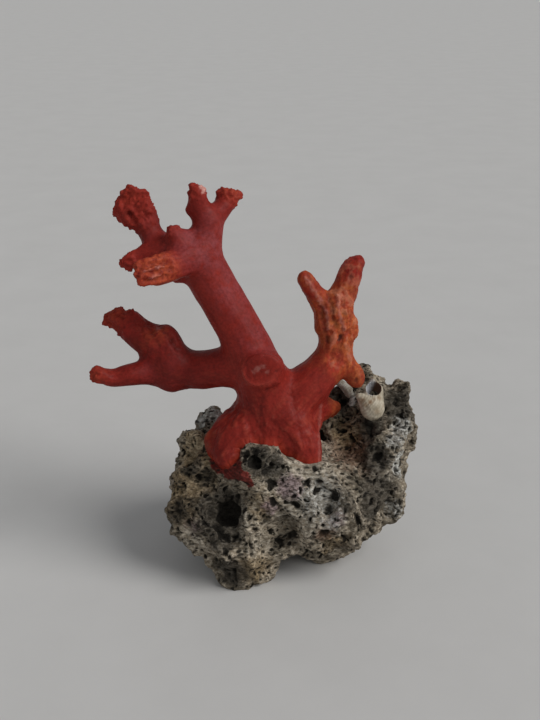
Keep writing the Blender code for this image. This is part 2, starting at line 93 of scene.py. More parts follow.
def way_through(px, py):
    """The direction in which the camera sees one place of the picture."""
    pixels_deep = PICTURE_HEIGHT * LENS / SENSOR
    way = Vector((px - PICTURE_WIDTH / 2, PICTURE_HEIGHT / 2 - py, -pixels_deep))
    return (GAZE.to_matrix() @ way).normalized()


def seen_at(px, py, surface):
    """Where the surface is that the picture shows there, in millimetres."""
    place = surface.ray_cast(EYE, way_through(px, py))[0]
    return place / MM if place else None


print("the middle of the picture looks along", way_through(270, 360))

# %% [markdown]
# ## From facets to a fine skin
#
# A solid of the frame is a bag of loose triangles. Merged and remeshed on a fine, even grid, it becomes
# a skin with enough points to carry relief. Smoothing then wipes out the facets. The Remesh modifier
# does this in one step, where cutting every facet smaller by hand would keep their edges.

# %% Skins
MERGE = 0.001 * MM


def mesh_of(bm, name):
    """A mesh of what the bmesh holds. The bmesh is freed."""
    mesh = bpy.data.meshes.new(name)
    bm.to_mesh(mesh)
    bm.free()
    return mesh


def merged_copy(names, swell=0.0):
    """One bmesh of several solids, each a little fatter where swell isn't 0."""
    whole = bmesh.new()
    for name in names:
        one = bmesh.new()
        one.from_mesh(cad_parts[name].data)
        bmesh.ops.remove_doubles(one, verts=one.verts, dist=MERGE)
        one.normal_update()
        moves = [v.normal * swell * MM for v in one.verts]
        for v, move in zip(one.verts, moves):
            v.co += move
        part = mesh_of(one, "part")
        whole.from_mesh(part)
        bpy.data.meshes.remove(part)
    return whole


def solids_as_met(names):
    """Some solids, as rays and distances meet them."""
    whole = merged_copy(names)
    met = BVHTree.FromBMesh(whole)
    whole.free()
    return met


def finished(mesh, add_modifiers, weights=None):
    """The mesh as the modifiers leave it. The weights, if any, are in a vertex group named where."""
    carrier = placed("carrier", mesh)
    if weights is not None:
        group = carrier.vertex_groups.new(name="where")
        for i, weight in enumerate(weights):
            if weight > 0.0:
                group.add((i,), float(weight), "REPLACE")
    add_modifiers(carrier.modifiers)
    graph = bpy.context.evaluated_depsgraph_get()
    result = bpy.data.meshes.new_from_object(carrier.evaluated_get(graph), depsgraph=graph)
    bpy.data.objects.remove(carrier)
    return result


def skin_over(bm, grid):
    """A new skin over a bmesh's solids, on an even grid."""
    def remesh(modifiers):
        step = modifiers.new("grid", "REMESH")
        step.mode = "VOXEL"
        step.voxel_size = grid * MM
    return finished(mesh_of(bm, "rough"), remesh)


def eased(mesh, rounds, weights=None):
    """The mesh after some rounds of smoothing, all over or by weight."""
    def smooth(modifiers):
        step = modifiers.new("ease", "SMOOTH")
        step.factor = 0.5
        step.iterations = rounds
        if weights is not None:
            step.vertex_group = "where"
    return finished(mesh, smooth, weights)


def read_from(mesh, what):
    """Three numbers for every point of the mesh."""
    flat = np.empty(len(mesh.vertices) * 3)
    mesh.vertices.foreach_get(what, flat)
    return flat.reshape(-1, 3)


def places_of(mesh):
    """Every point of the mesh, in millimetres."""
    return read_from(mesh, "co") / MM


def normals_of(mesh):
    return read_from(mesh, "normal")


def sight_of(mesh):
    """The mesh as rays meet it."""
    return BVHTree.FromPolygons(
        [v.co for v in mesh.vertices], [tuple(p.vertices) for p in mesh.polygons]
    )


def move_points(mesh, places):
    mesh.vertices.foreach_set("co", (places * MM).ravel())
    mesh.update()


def mark(mesh, **marks):
    """Keeps named values, one of each for each point of the mesh, for its finish to read."""
    for name, values in marks.items():
        attribute = mesh.attributes.new(name, "FLOAT", "POINT")
        attribute.data.foreach_set("value", np.asarray(values, dtype=np.float32))


def piece_of(name, mesh, nodes):
    """The finished piece, riding with the stone and standing for its solids."""
    mesh.name = name
    mesh.shade_smooth()
    piece = placed(name, mesh)
    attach(piece, "root")
    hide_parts(*nodes)
    mesh.calc_loop_triangles()
    print(name, "has", len(mesh.loop_triangles), "triangles")
    return piece


# %% [markdown]
# ## How the relief is described
#
# A feature that has its own place, such as a hole or a stain, is a small ball of influence round a
# point of the surface: full strength at the middle, nothing at the rim. Relief that is everywhere comes
# from noise, which has no places to list.

# %% Influence and steps
SPREAD = 1.5  # a ball's rim is too faint to see, so it is drawn this much larger than it is listed
CELL_STRIDE = 7.3  # so that the middles of neighbouring pits fall in different cells


def held(values):
    """The values, held between 0 and 1."""
    return np.clip(values, 0.0, 1.0)


def unit(way):
    return way / np.linalg.norm(way)


def ramp(values, low, high):
    """0 below low, 1 above high, and a soft step between them."""
    share = held((values - low) / (high - low))
    return share * share * (3.0 - 2.0 * share)


def reach_of(places, centre, radius):
    """1 at the centre and 0 from the radius outwards, for every point."""
    away = np.linalg.norm(places - np.array(centre), axis=1) / radius
    return held(1.0 - away * away) ** 2


def seen_middles(surface, listed):
    """Where the listed places of the picture are on the surface, each with what is listed for it."""
    for px, py, *rest in listed:
        middle = seen_at(px, py, surface)
        if middle is not None:
            yield (middle, *rest)


def seen_cover(places, surface, patches, spread=SPREAD):
    """How strongly some patches, named by where the picture shows them, act on every point."""
    cover = np.zeros(len(places))
    for middle, radius, amount in seen_middles(surface, patches):
        cover = np.maximum(cover, reach_of(places, middle, radius * spread) * amount)
    return cover


def noise_at(places, size):
    """Smooth noise from -1 to 1, with features of about this size."""
    return np.array([noise.noise(place) for place in (places / size).tolist()])


def lumps_at(places, size, octaves, roughness):
    return np.array([noise.fractal(place, roughness, 2.0, octaves) for place in (places / size).tolist()])


def hollows_at(places, pitch, smallest, largest):
    """How deep each point lies in a field of round pits: 0 outside them and 1 at their middles."""
    depths = np.zeros(len(places))
    for i, place in enumerate((places / pitch).tolist()):
        distances, middles = noise.voronoi(place)
        chance = noise.cell(middles[0] * CELL_STRIDE) * 0.5 + 0.5
        width = smallest + (largest - smallest) * chance
        share = distances[0] / width if width > 0.0 else 1.0
        if share < 1.0:
            depths[i] = 1.0 - share * share
    return depths


# %% [markdown]
# ## The stone
#
# The stone is old reef rock: worm holes, borings and broken cells all over, down to pinholes. The solid
# already has its lumps and its largest hollows. Here it gets three sizes of pits, crags between them,
# and the dark caves that the picture shows at known places. Where its outline or its largest cave
# still strays from the picture, the skin is filled or thinned a little. It comes before the coral,
# because the coral's foot has to meet it.

# %% The stone's own places
CAVES = [  # across and down the picture, radius, depth
    (228, 514, 2.8, 2.4), (219, 529, 2.6, 1.9), (213, 512, 1.6, 1), (251, 456, 1.2, 1),
    (261, 457, 0.8, 0.9), (257, 464, 1.2, 0.9), (268.6, 473, 1.5, 1.9), (258, 479, 0.9, 1),
    (319, 484, 1.2, 1.4), (306, 483, 1, 1.1), (301, 491, 0.9, 0.9), (297, 506, 1.1, 1.4),
    (281, 498, 0.9, 1), (318, 499, 0.9, 1), (306, 499, 0.8, 1), (328, 508, 1.2, 1.2), (317, 516, 0.9, 1.1),
    (281, 514, 1.1, 1.2), (286, 520, 1.3, 1.4), (266, 523, 0.8, 0.8), (291, 536, 1.6, 1.7),
    (281, 541, 1.1, 1.3), (326, 537, 2.2, 1.3), (344, 511, 1.3, 1.2), (366, 427, 2.2, 2.6),
    (378, 457, 1.4, 1.6), (353, 472, 1.1, 1.2), (232, 575, 1.8, 1.2), (357, 516, 1.3, 1.2),
    (388, 505, 1.6, 1.4), (190, 462, 1.4, 1.3), (186, 475, 1.2, 1.2), (176, 512, 1.8, 1.2),
    (345, 540, 1.4, 1.2), (241, 560, 1.3, 1), (270, 552, 1.2, 1),
]
STAINS = {  # each crust's patches: across and down the picture, radius, how thick
    # The lime patch at 409, 478 is a painted glint.
    "lime": [(399, 462, 3.4, 0.9), (409, 478, 1.4, 1.3), (403, 429, 3.2, 0.7), (318, 498, 6.5, 0.45),
             (228, 405, 3.4, 0.8), (250, 441, 2.4, 0.8), (270, 440, 2.4, 0.7), (237, 452, 1.6, 0.7),
             (332, 520, 4, 0.4), (396, 510, 3, 0.5), (351, 400, 1.8, 0.9), (395, 440, 2.6, 0.6),
             (214, 409, 3.2, 1), (204, 419, 3, 0.7), (246, 441, 1.6, 0.9), (262, 439, 1.6, 0.9)],
    "lilac": [(291, 487, 3.4, 0.8), (271, 508, 2.4, 0.6), (336, 520, 3, 0.5), (193, 528, 3, 0.4)],
    "rust": [(350, 455, 7, 0.7), (326, 537, 3.4, 0.7), (362, 440, 4, 0.6)],
    "ochre": [(182, 490, 5.5, 1), (180, 505, 5, 0.9), (205, 478, 4, 0.8), (198, 452, 5.5, 0.9),
              (256, 572, 5, 0.8), (335, 545, 4, 0.6), (407, 518, 2.4, 0.7), (262, 505, 4.5, 0.5),
              (345, 430, 5, 0.6)],
    "pale": [(305, 478, 8, 1.25), (288, 500, 6, 1.15), (320, 518, 6, 0.9), (335, 450, 5, 0.6),
             (262, 556, 5, 0.6), (206, 440, 5, 0.6), (196, 545, 4, 0.7), (385, 470, 4, 0.6)],
    # silt: a dark crust, which also stands for painted shade round the caves and hollows and on the stone's
    # darker faces
    "silt_and_shade": [(258, 460, 3.8, 1.1), (272, 466, 3.4, 1), (219, 514, 6.5, 1), (222, 534, 4.5, 1),
             (232, 574, 4.6, 1), (340, 548, 4, 0.5), (380, 500, 6.5, 0.9), (177, 512, 3.6, 0.9),
             (190, 466, 3, 1), (376, 458, 4, 1), (368, 427, 4, 1), (400, 405, 5.5, 0.9), (345, 500, 5, 0.5),
             (207, 476, 3, 0.8), (340, 397, 4, 1.1), (195, 505, 4, 0.6), (310, 505, 3, 0.5)],
    "film": [(222, 462, 2.6, 1.5), (229, 466, 2.8, 1.6), (235, 472, 2.4, 1.5), (241, 478, 2, 1.4),
             (248, 483, 1.4, 1.2)],
}

# %% The stone's skin
STONE_GRID = 0.37
coral_nodes = [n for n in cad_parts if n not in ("stone", "snail_shell", "worm_tube")]
grown_on_it = solids_as_met(coral_nodes + ["snail_shell", "worm_tube"])


def distance_to(places, tree, farthest):
    """How far each point is from a surface, up to a limit, in millimetres."""
    away = np.full(len(places), farthest)
    for i, place in enumerate((places * MM).tolist()):
        found = tree.find_nearest(place, farthest * MM)
        if found[0] is not None:
            away[i] = found[3] / MM
    return away


stone_mesh = eased(skin_over(merged_copy(["stone"]), STONE_GRID), 6)
stone_places = places_of(stone_mesh)
stone_normals = normals_of(stone_mesh)
stone_sight = sight_of(stone_mesh)
print("the stone's skin has", len(stone_places), "points")

# %% The stone's relief
# Across and down the picture, radius, and how far the skin is moved out or in.
FILLED_PLACES = [(247, 513, 2.6, 1.7), (250, 505, 1.8, 1), (190, 437, 3.2, 1.5)]
THINNED_PLACES = [(275, 572, 3, 1.2)]
CAVE_SPREAD = 1.35
LONG_PITS = np.array((1.0, 1.0, 0.72))  # pits are longer than they are wide
CRAG_LEVEL = 1.3  # where the crags' noise is this high, they neither rise nor sink
CRAGS_HIGH, KNOLLS_HIGH, GRIT_HIGH = 0.4, 0.5, 0.17
LARGE_DEEP, MIDDLE_DEEP, SMALL_DEEP, CAVES_DEEP = 1.3, 1.1, 0.6, 1.15
SUNK = 0.15  # all over
LOWEST, HIGHEST = -3.6, 1.0
STANDING_RIM = 1.2  # the stone stays flat this far above the places that it stands on


def warped(places, size, reach):
    """The places, shifted by smooth noise, so that a pattern on them loses its regular look."""
    return places + reach * np.array([noise.noise_vector(p) for p in (places / size).tolist()])


bent = warped(stone_places, 3.1, 1.0)
crooked = warped(bent, 1.1, 0.42) * LONG_PITS
crags = np.array([
    noise.ridged_multi_fractal(p, 1.0, 2.1, 4, 1.0, 1.7) for p in (bent / 4.6).tolist()
])
# A number added to the places, as in the next lines, gives each pattern its own part of the noise.
knolls = lumps_at(stone_places + 30.0, 2.3, 3, 0.7)
large_pits = hollows_at(crooked, 3.8, -0.55, 0.46)
middle_pits = hollows_at(crooked + 50.0, 1.65, -0.24, 0.55)
small_pits = hollows_at(crooked + 90.0, 0.98, 0.02, 0.62)
grit = lumps_at(stone_places, 0.8, 2, 0.6)

ragged = warped(stone_places, 1.6, 0.5)
cave_depths = seen_cover(ragged, stone_sight, CAVES, CAVE_SPREAD)
filmed = held(seen_cover(stone_places, stone_sight, STAINS["film"]))
filled = seen_cover(stone_places, stone_sight, FILLED_PLACES)
filled -= seen_cover(stone_places, stone_sight, THINNED_PLACES)
height = (crags - CRAG_LEVEL) * CRAGS_HIGH + knolls * KNOLLS_HIGH + grit * GRIT_HIGH
height -= (large_pits * LARGE_DEEP + middle_pits * MIDDLE_DEEP + small_pits * SMALL_DEEP
           + cave_depths * CAVES_DEEP)
clear_of_growth = ramp(distance_to(stone_places, grown_on_it, 3.0), 0.6, 2.2)
height = height * (0.15 + 0.85 * clear_of_growth) * (1.0 - 0.85 * filmed)
height = np.clip(height - SUNK, LOWEST, HIGHEST) + filled
height *= ramp(stone_places[:, 2], 0.0, STANDING_RIM)
carved = stone_places + stone_normals * height[:, None]
carved[:, 2] = np.maximum(carved[:, 2], 0.0)
move_points(stone_mesh, carved)
print("the relief goes from", height.min().round(2), "to", height.max().round(2), "mm")

# %% What the stone's finish reads
# The hollow mark is painted shade in the pits, caves and low places; the crest mark is a painted highlight
# on the high places.
pit_share = np.max([
    ramp(large_pits, 0.08, 0.6), ramp(middle_pits, 0.14, 0.7) * 0.95, ramp(small_pits, 0.2, 0.8) * 0.8,
    ramp(cave_depths, 0.35, 1.5), ramp(-height, 1.1, 2.6) * 0.7,
], axis=0)
mark(stone_mesh, hollow=pit_share * (1.0 - 0.85 * filmed), crest=ramp(height, -0.05, 0.55))
mark(stone_mesh, **{crust: seen_cover(ragged, stone_sight, patches) for crust, patches in STAINS.items()})
stone = piece_of("reef_stone", stone_mesh, ["stone"])

# %% [markdown]
# ## The coral's skin
#
# The model's solids are sawn apart at the forks, with a hair's gap between them. The real branch is in
# one piece, so the solids are swollen by a little more than half that gap, fused, and shrunk back. The
# foot is also pressed into the stone, as it grew over it.

# %% One skin over all the branches
CORAL_GRID = 0.305
SWELL = 0.22

stone_top = solids_as_met(["stone"])


def pressed_into(places, tree, reach, depth):
    """Points near the stone, moved to a little below its surface."""
    moved = places.copy()
    for i, place in enumerate((places * MM).tolist()):
        spot, normal, _, away = tree.find_nearest(place, reach * MM)
        if spot is not None:
            below = spot - normal * depth * MM
            share = 1.0 - max(0.0, away / MM - reach * 0.55) / (reach * 0.45)
            moved[i] += (np.array(below) / MM - places[i]) * share
    return moved


coral_mesh = skin_over(merged_copy(coral_nodes, SWELL), CORAL_GRID)
print("the coral's skin has", len(coral_mesh.vertices), "points")

# %% [markdown]
# ## The way it grew
#
# Red coral is striped lengthwise by fine furrows that follow each branch. To draw them, the lesson
# needs to know which way every point of the skin grew. It repeats the lines that the branches follow,
# and for each point it finds the nearest line, the way that line runs and how far out the point is.

# %% The lines of growth
SHIFT = np.array((2.6, -3.46, 0.0))  # from the branches' own frame to the frame of the model
GROWTH_LINES = [  # points along a branch: across, deep, up, and its radius
    [(-1, 3, 24, 11), (-1, 2.5, 30, 10.2), (0, 1.5, 36, 8), (-0.4, 1, 41, 6.8), (-2.2, 0, 46.6, 5.7),
     (-5.8, 1, 54.8, 5), (-9.9, 2, 62.5, 4.8), (-13.6, 2, 69.5, 4.7), (-14.9, 2, 74, 4.4),
     (-13.5, 3, 77.4, 3.4), (-13.3, 3, 80.2, 3), (-14.7, 3, 83.2, 2.2), (-15.5, 2, 87.6, 1.5)],
    [(5, 2, 33, 6.4), (4.5, 1, 39.4, 5.3), (9.4, 2, 43.8, 4.8), (13.4, 4, 48.2, 4), (14.8, 5, 52.1, 3.7),
     (14.8, 6, 56, 4.1), (14.8, 6.4, 59.6, 3.9), (15.8, 7, 61.4, 3), (17, 8, 64.9, 2.6),
     (18.3, 9, 68.2, 2.4), (19.2, 10, 70.4, 1.5)],
    [(14, 6, 57, 3.4), (12.3, 6, 60, 2.8), (9.8, 5, 64, 2.1), (7.4, 3.9, 67.6, 1.9)],
    [(13.4, 4.6, 48, 3), (15.8, 5, 48.4, 2.2), (18, 4, 46.9, 1.9), (19.2, 2, 44.8, 2.3)],
    [(-2.5, 0.5, 37, 4.8), (-6.8, 0, 35.6, 3.6), (-9.9, -2, 33.8, 2.9), (-13.4, -3, 32, 1.5)],
    [(-5, -2, 35, 4.4), (-8.4, -5, 32.6, 3.2), (-9.7, -7, 30, 2.4), (-8.8, -9, 27.8, 1.8),
     (-6, -11.4, 25.8, 1.1)],
    [(3, -1, 36, 5.8), (6.8, -3, 31.8, 4.4), (8.8, -5, 28, 2.8)],
    [(8, 3, 37.4, 4.4), (12.4, 6, 35.8, 2.6), (15.4, 8, 34.6, 1.5)],
    [(-12.6, 4, 79.6, 2.6), (-10.2, 6, 82.5, 2), (-8.2, 7.4, 85.2, 2)],
    [(-15.8, 1, 72.4, 3), (-18.2, 0.2, 75.4, 2.6), (-20.4, -1, 79.6, 1.7)],
    [(-15.8, 2, 73.4, 3.4), (-19.6, 2.6, 74.6, 3.2), (-23.5, 3, 75.2, 2.8), (-25.6, 4, 77.8, 2.4),
     (-27, 5, 80.4, 2.9), (-29.6, 6, 84.4, 3.3)],
    [(-22, 1, 74.6, 2.8), (-25.3, 0, 74.1, 2.3), (-28.2, -1, 73.4, 1.8), (-30.8, -2, 73, 1.2)],
    [(-16, 0, 73.2, 3.4), (-19, -4.4, 73.8, 1.7), (-22.8, -8.2, 75.2, 1.3), (-26.6, -10.4, 74.6, 0.9)],
    [(-18, -4.6, 73.4, 1.5), (-22.6, -9.6, 73.8, 1.4), (-26.4, -12.2, 73.2, 1)],
    [(-18, -4, 72, 1.5), (-22, -9, 72.2, 1.4), (-25.2, -11.6, 71.7, 1.1)],
    [(-18, -2.4, 71.2, 1.4), (-20.8, -7, 71, 1.2), (-23.4, -9.6, 70.7, 0.9)],
    [(-3.4, 1, 46, 5), (-10.2, 2, 47.6, 4.4), (-14.3, 3, 46.5, 4.2), (-18.5, 4, 46.6, 4.3),
     (-22.6, 4, 49.4, 4.4), (-25.4, 5, 52, 4), (-28.6, 6, 53.6, 3.6), (-31.4, 7, 55.5, 3),
     (-35, 8, 57.2, 2)],
    [(-19.6, 4, 46.8, 3.9), (-23, 4, 46.4, 3.9), (-26.9, 3, 45.9, 2.9), (-30.9, 1, 46.1, 2.4),
     (-34.4, 0, 45.7, 2), (-38.3, -1, 46.9, 1.7)],
]
STEPS_A_SPAN = 12
HOLD = 0.7  # how soon a branch's furrows fade outside its radius


def along(points, t):
    """The point at t, counted in points, on a smooth curve through all of them."""
    i = min(int(t), len(points) - 2)
    u = t - i
    before, after = points[max(i - 1, 0)], points[min(i + 2, len(points) - 1)]
    p, q, r, s = (np.array(point) for point in (before, points[i], points[i + 1], after))
    return (2 * q + (r - p) * u + (2 * p - 5 * q + 4 * r - s) * u * u + (3 * q - p - 3 * r + s) * u**3) / 2


def growth_of(places, points):
    """For each place: how far outside the branch it is, its offset from the axis, and the way along."""
    count = (len(points) - 1) * STEPS_A_SPAN
    line = np.array([along(points, i / STEPS_A_SPAN) for i in range(count + 1)])
    axis, radii = line[:, :3] + SHIFT, line[:, 3]
    way = np.gradient(axis, axis=0)
    way /= np.linalg.norm(way, axis=1)[:, None]
    run = np.concatenate(([0.0], np.cumsum(np.linalg.norm(np.diff(axis, axis=0), axis=1))))
    square = (places**2).sum(1)[:, None] - 2.0 * places @ axis.T + (axis**2).sum(1)[None, :]
    nearest = np.argmin(square, axis=1)
    offset = places - axis[nearest]
    forward = (offset * way[nearest]).sum(1)
    radial = offset - way[nearest] * forward[:, None]
    outside = np.linalg.norm(offset, axis=1) - radii[nearest]
    return outside, radial, way[nearest], run[nearest] + forward


def furrows_at(places, width, length):
    """Noise drawn out along the branches: from -1 to 1, this wide and this long."""
    total = np.zeros(len(places))
    weights = np.zeros(len(places))
    for k, points in enumerate(GROWTH_LINES):
        outside, radial, way, run = growth_of(places, points)
        weight = np.exp(-np.clip(outside, -1.0, 9.0) / HOLD)
        close = np.flatnonzero(weight > 0.02)
        drawn = radial / width + way * (run / length)[:, None] + 17.0 * k
        values = [noise.noise(drawn[i].tolist()) for i in close]
        total[close] += weight[close] * np.array(values)
        weights[close] += weight[close] ** 2
    return total / np.sqrt(np.maximum(weights, 1e-6))


# %% [markdown]
# ## Tips, knots and small scars
#
# The ends of the branches are broken and grainy where the animals last sat, and the branch on the right
# is knotted and orange. Each of these places is a centre with a radius. Away from the tips the skin
# is smoothed until no facet is left; on them it keeps its edges. Creases are lines through points of
# the picture, sunk or raised by many small balls of influence in a row; the finish paints shade into
# the scars and sunk creases and a highlight along the raised ones. A few soft pushes at last bring the
# left branch and some tips onto their outlines in the picture.

# %% The coral's own places
TIPS = [  # across, deep, up, radius of the grainy end
    (-28.9, 5.8, 82.8, 6.2), (-34.2, 8, 57, 4.6), (-30.4, -1.7, 72.8, 3.2), (-38.2, -1, 46.8, 2.2),
    (-15.6, 2.2, 87.6, 2.6), (-8.2, 7.4, 85.6, 3.4), (-20.4, -1, 79.6, 2.2), (-27.6, 5, 56.6, 2.4),
    (-26.4, -11.4, 73, 3.4),
]
ORANGE_PLACES = [  # across, deep, up, radius, how orange
    (15, 6, 57, 12, 1), (19.2, 2, 44.8, 5.4, 1.5), (12.4, 3.6, 47.4, 5.5, 0.8), (8, 4, 67, 6, 0.6),
    (18.6, 9.4, 69, 6, 0.35), (-23.4, -9.2, 73, 7, 0.4), (13.6, 6.6, 35.4, 4.4, 1),
    (-13.4, -3, 32, 3, 0.7), (-27.4, 4.8, 52.4, 4, 0.55),
]
# Violet dust, and a painted sheen where it faces the light.
DUST_AND_SHEEN_PLACES = [  # places with a violet bloom: across, deep, up, radius, how much
    (-14.5, 0, 75.5, 8.5, 1), (-9.5, 0, 66, 7, 0.8), (-4, 0, 56, 7, 0.7), (-25, 5, 78, 5, 0.5),
    (-24.5, 3, 47, 6, 0.5),
]
# The painted sheen lies on the sides that face up and to the right, towards the key light.
SHEEN_FACING = (0.62, -0.35, 0.7)  # it lies on the sides that face up and to the right
# Painted shade, strongest on the left branch and low on the trunk.
PAINTED_SHADE_PLACES = [  # where the skin is darker: across, deep, up, radius, how much
    (-21, 4, 46.5, 12, 1), (-28.5, 5, 53, 7, 0.8), (-30, 1, 46, 6, 0.7), (1, -5, 39.5, 4.2, 0.5),
    (-26, 4, 76, 5, 0.5), (-10, -6, 31, 6, 0.6), (-3, 0, 40, 6, 0.6),
]
# Mostly the skin's own orange red; the place on the left branch's hump, at -25, 2.6, 55.4, is a painted
# highlight.
BRIGHT_PLACES = [  # where the skin is a bright orange red
    (-23.6, -9.4, 73.2, 5.5, 1), (-10.6, -5, 30, 2.6, 0.6), (13.6, 6.6, 35.4, 3.4, 0.7),
    (-8.2, 7.2, 85.2, 2.6, 0.5), (-34.6, 8, 57.4, 3.4, 0.45), (-38.4, -1, 46.8, 3, 0.35),
    (-25, 2.6, 55.4, 2.9, 0.5), (-29.6, 6, 84.6, 3, 0.35),
]
FLUTED_PLACES = [(-24, -9, 73, 8, 1), (15.4, 6.2, 57, 9, 0.6)]  # with ridges along them
# The darkness of each scar is painted shade.
SCARS = [  # small holes: across and down the picture, radius, depth, how dark
    (341, 337, 0.75, 0.45, 1), (339, 340, 0.5, 0.35, 1), (328, 339, 1, 0.35, 0.6),
    (351, 277, 0.9, 0.3, 0.5), (277, 371, 0.5, 0.25, 0.5), (188, 218, 0.6, 0.2, 0.5),
    (172, 340, 0.8, 0.35, 0.5), (169, 354, 0.6, 0.25, 0.4), (145, 325, 0.7, 0.25, 0.4),
    (356, 381, 0.6, 0.3, 0.7), (267, 389, 0.5, 0.2, 0.4), (127, 214, 1, 0.4, 0.4),
]
# A sunk crease's darkness is painted shade, a raised ridge's paleness a painted highlight.
CREASES = [  # points in the picture, half width, depth (below 0 for a ridge), how dark, how pale
    ([(328, 293), (331, 305), (333, 318), (337, 328)], 0.6, 0.45, 0.55, 0),
    ([(322, 308), (322, 320), (325, 332)], 0.55, 0.35, 0.35, 0),
    ([(343, 300), (344, 316), (341, 330)], 0.55, 0.3, 0.25, 0),
    ([(318, 300), (327, 312), (328, 330)], 0.4, -0.2, 0, 0.35),
    ([(306, 278), (314, 290), (322, 302)], 0.45, -0.2, 0, 0.3),
    ([(338, 296), (339, 312), (345, 330)], 0.45, -0.2, 0, 0.3),
    ([(321, 405), (318.5, 430), (319.5, 458)], 0.6, -0.15, 0, 0.18),
    ([(290, 388), (297, 420), (303, 448)], 0.45, 0.18, 0.15, 0),
    ([(262, 396), (258, 418), (262, 436)], 0.5, 0.2, 0.2, 0),
    ([(136, 268), (156, 263), (170, 262)], 0.75, 0.85, 0.3, 0),
    ([(136, 275), (150, 272.5), (172, 269)], 0.7, 0.9, 0.3, 0),
    ([(144, 283), (158, 279.5), (168, 275)], 0.6, 0.7, 0.3, 0),
    ([(144, 271), (152, 269)], 0.4, -0.25, 0, 0.35),
    ([(157, 267), (165, 265.5)], 0.35, -0.2, 0, 0.4),
    ([(151, 278.5), (160, 275)], 0.4, -0.25, 0, 0.35),
    ([(160, 326), (168, 336), (178, 350)], 0.55, 0.35, 0.4, 0),
    ([(146, 318), (152, 334), (160, 348)], 0.5, 0.25, 0.25, 0),
]
WORN_PLACES = [  # across and down the picture, radius, how pale
    (257, 369, 0.7, 0.26), (254, 372, 0.5, 0.2), (263, 367, 0.6, 0.2), (268, 372, 0.45, 0.2),
    (202.5, 187, 0.9, 1), (203.5, 190.5, 0.7, 1),
]
RUGGED_PLACES = [(-25.5, 4, 51, 5, 0.7), (-32, 6.4, 56, 4, 0.7), (-29, 5.6, 80, 5, 0.5),
                 (-38, -1, 46.8, 3, 0.5), (8.6, 4.4, 66.4, 4.6, 0.75), (11.6, 5.6, 61.2, 4.6, 0.9),
                 (12.6, 3.6, 48.2, 4.6, 0.35)]
SLIMMED_PLACES = [(-30.6, -1.7, 72.9, 3.4, 0.5)]  # across, deep, up, radius, how much thinner
PUSHES = [  # across and down the picture, radius, and the way moved: across, deep, up
    (147, 321, 5, (-0.3, 0, -1.7)), (170, 334, 4.6, (0.5, 0, 1.3)), (108, 317, 3.4, (-1.2, 0, -0.6)),
    (117, 372, 2.8, (0, 0, -0.8)), (99, 372, 2.8, (-0.2, 0, 0.4)), (149, 257, 3.8, (0, 0, -1.5)),
    (303, 278, 3.4, (-0.2, 0, 0.7)), (357, 260, 3, (0.9, 0, 0.3)),
]
SOFTENED_PLACES = [(-1, -5.4, 51, 6, 1)]  # the stub's edge is softer than the model's

# %% The coral's relief
LINE_STEP = 1.2  # from one ball of influence to the next along a crease, in places of the picture
COVER_SPREAD, SCAR_SPREAD = 1.4, 1.3
FIRST_ROUNDS, SMOOTH_ROUNDS, SOFT_ROUNDS = 2, 30, 60
FULLNESS = 0.25  # about what the smoothing takes off
FINE_DEEP, BROAD_DEEP = 0.03, 0.05  # the furrows on the branches
FINE_DEEPER, BROAD_DEEPER = 0.05, 0.22  # and how much deeper they are at the foot
LUMPS_HIGH, LUMPS_HIGHER = 0.08, 0.14  # everywhere, and where the skin is knotted
KNOTS_HIGH, KNOTS_HIGHER = 0.02, 0.3


def cover_of(places, listed):
    """How strongly some listed places, each with its radius and amount, act on every point."""
    cover = np.zeros(len(places))
    for *centre, radius, amount in listed:
        cover = np.maximum(cover, reach_of(places, centre + SHIFT, radius * COVER_SPREAD) * amount)
    return cover


def beads_on(points, radius):
    """Balls of full strength in a row along a line through some places of the picture."""
    for (px, py), (next_px, next_py) in zip(points, points[1:]):
        steps = math.ceil(math.hypot(next_px - px, next_py - py) / LINE_STEP)
        for i in range(steps):
            share = i / steps
            yield px + (next_px - px) * share, py + (next_py - py) * share, radius, 1.0


growth_places = places_of(coral_mesh)
tips = ramp(cover_of(growth_places, [(*tip, 1.0) for tip in TIPS]), 0.05, 0.45)
coral_mesh = eased(eased(coral_mesh, FIRST_ROUNDS), SMOOTH_ROUNDS, 1.0 - 0.95 * tips)
coral_mesh = eased(coral_mesh, SOFT_ROUNDS, cover_of(growth_places, SOFTENED_PLACES))
coral_sight = sight_of(coral_mesh)
pushed = places_of(coral_mesh)
for middle, radius, way in seen_middles(coral_sight, PUSHES):
    pushed += reach_of(pushed, middle, radius)[:, None] * np.array(way)
move_points(coral_mesh, pushed)

coral_places = places_of(coral_mesh)
coral_normals = normals_of(coral_mesh)
coral_sight = sight_of(coral_mesh)
fluted = cover_of(coral_places, FLUTED_PLACES)
right_branch = ramp(coral_places[:, 0], 13.0, 17.0) * ramp(coral_places[:, 2], 44.0, 50.0)
right_branch *= 1.0 - 0.2 * ramp(coral_places[:, 2], 63.0, 67.0)  # its two tips are smoother
knotted = np.maximum(right_branch, cover_of(coral_places, RUGGED_PLACES))
foot = 1.0 - ramp(coral_places[:, 2], 36.0, 50.0)

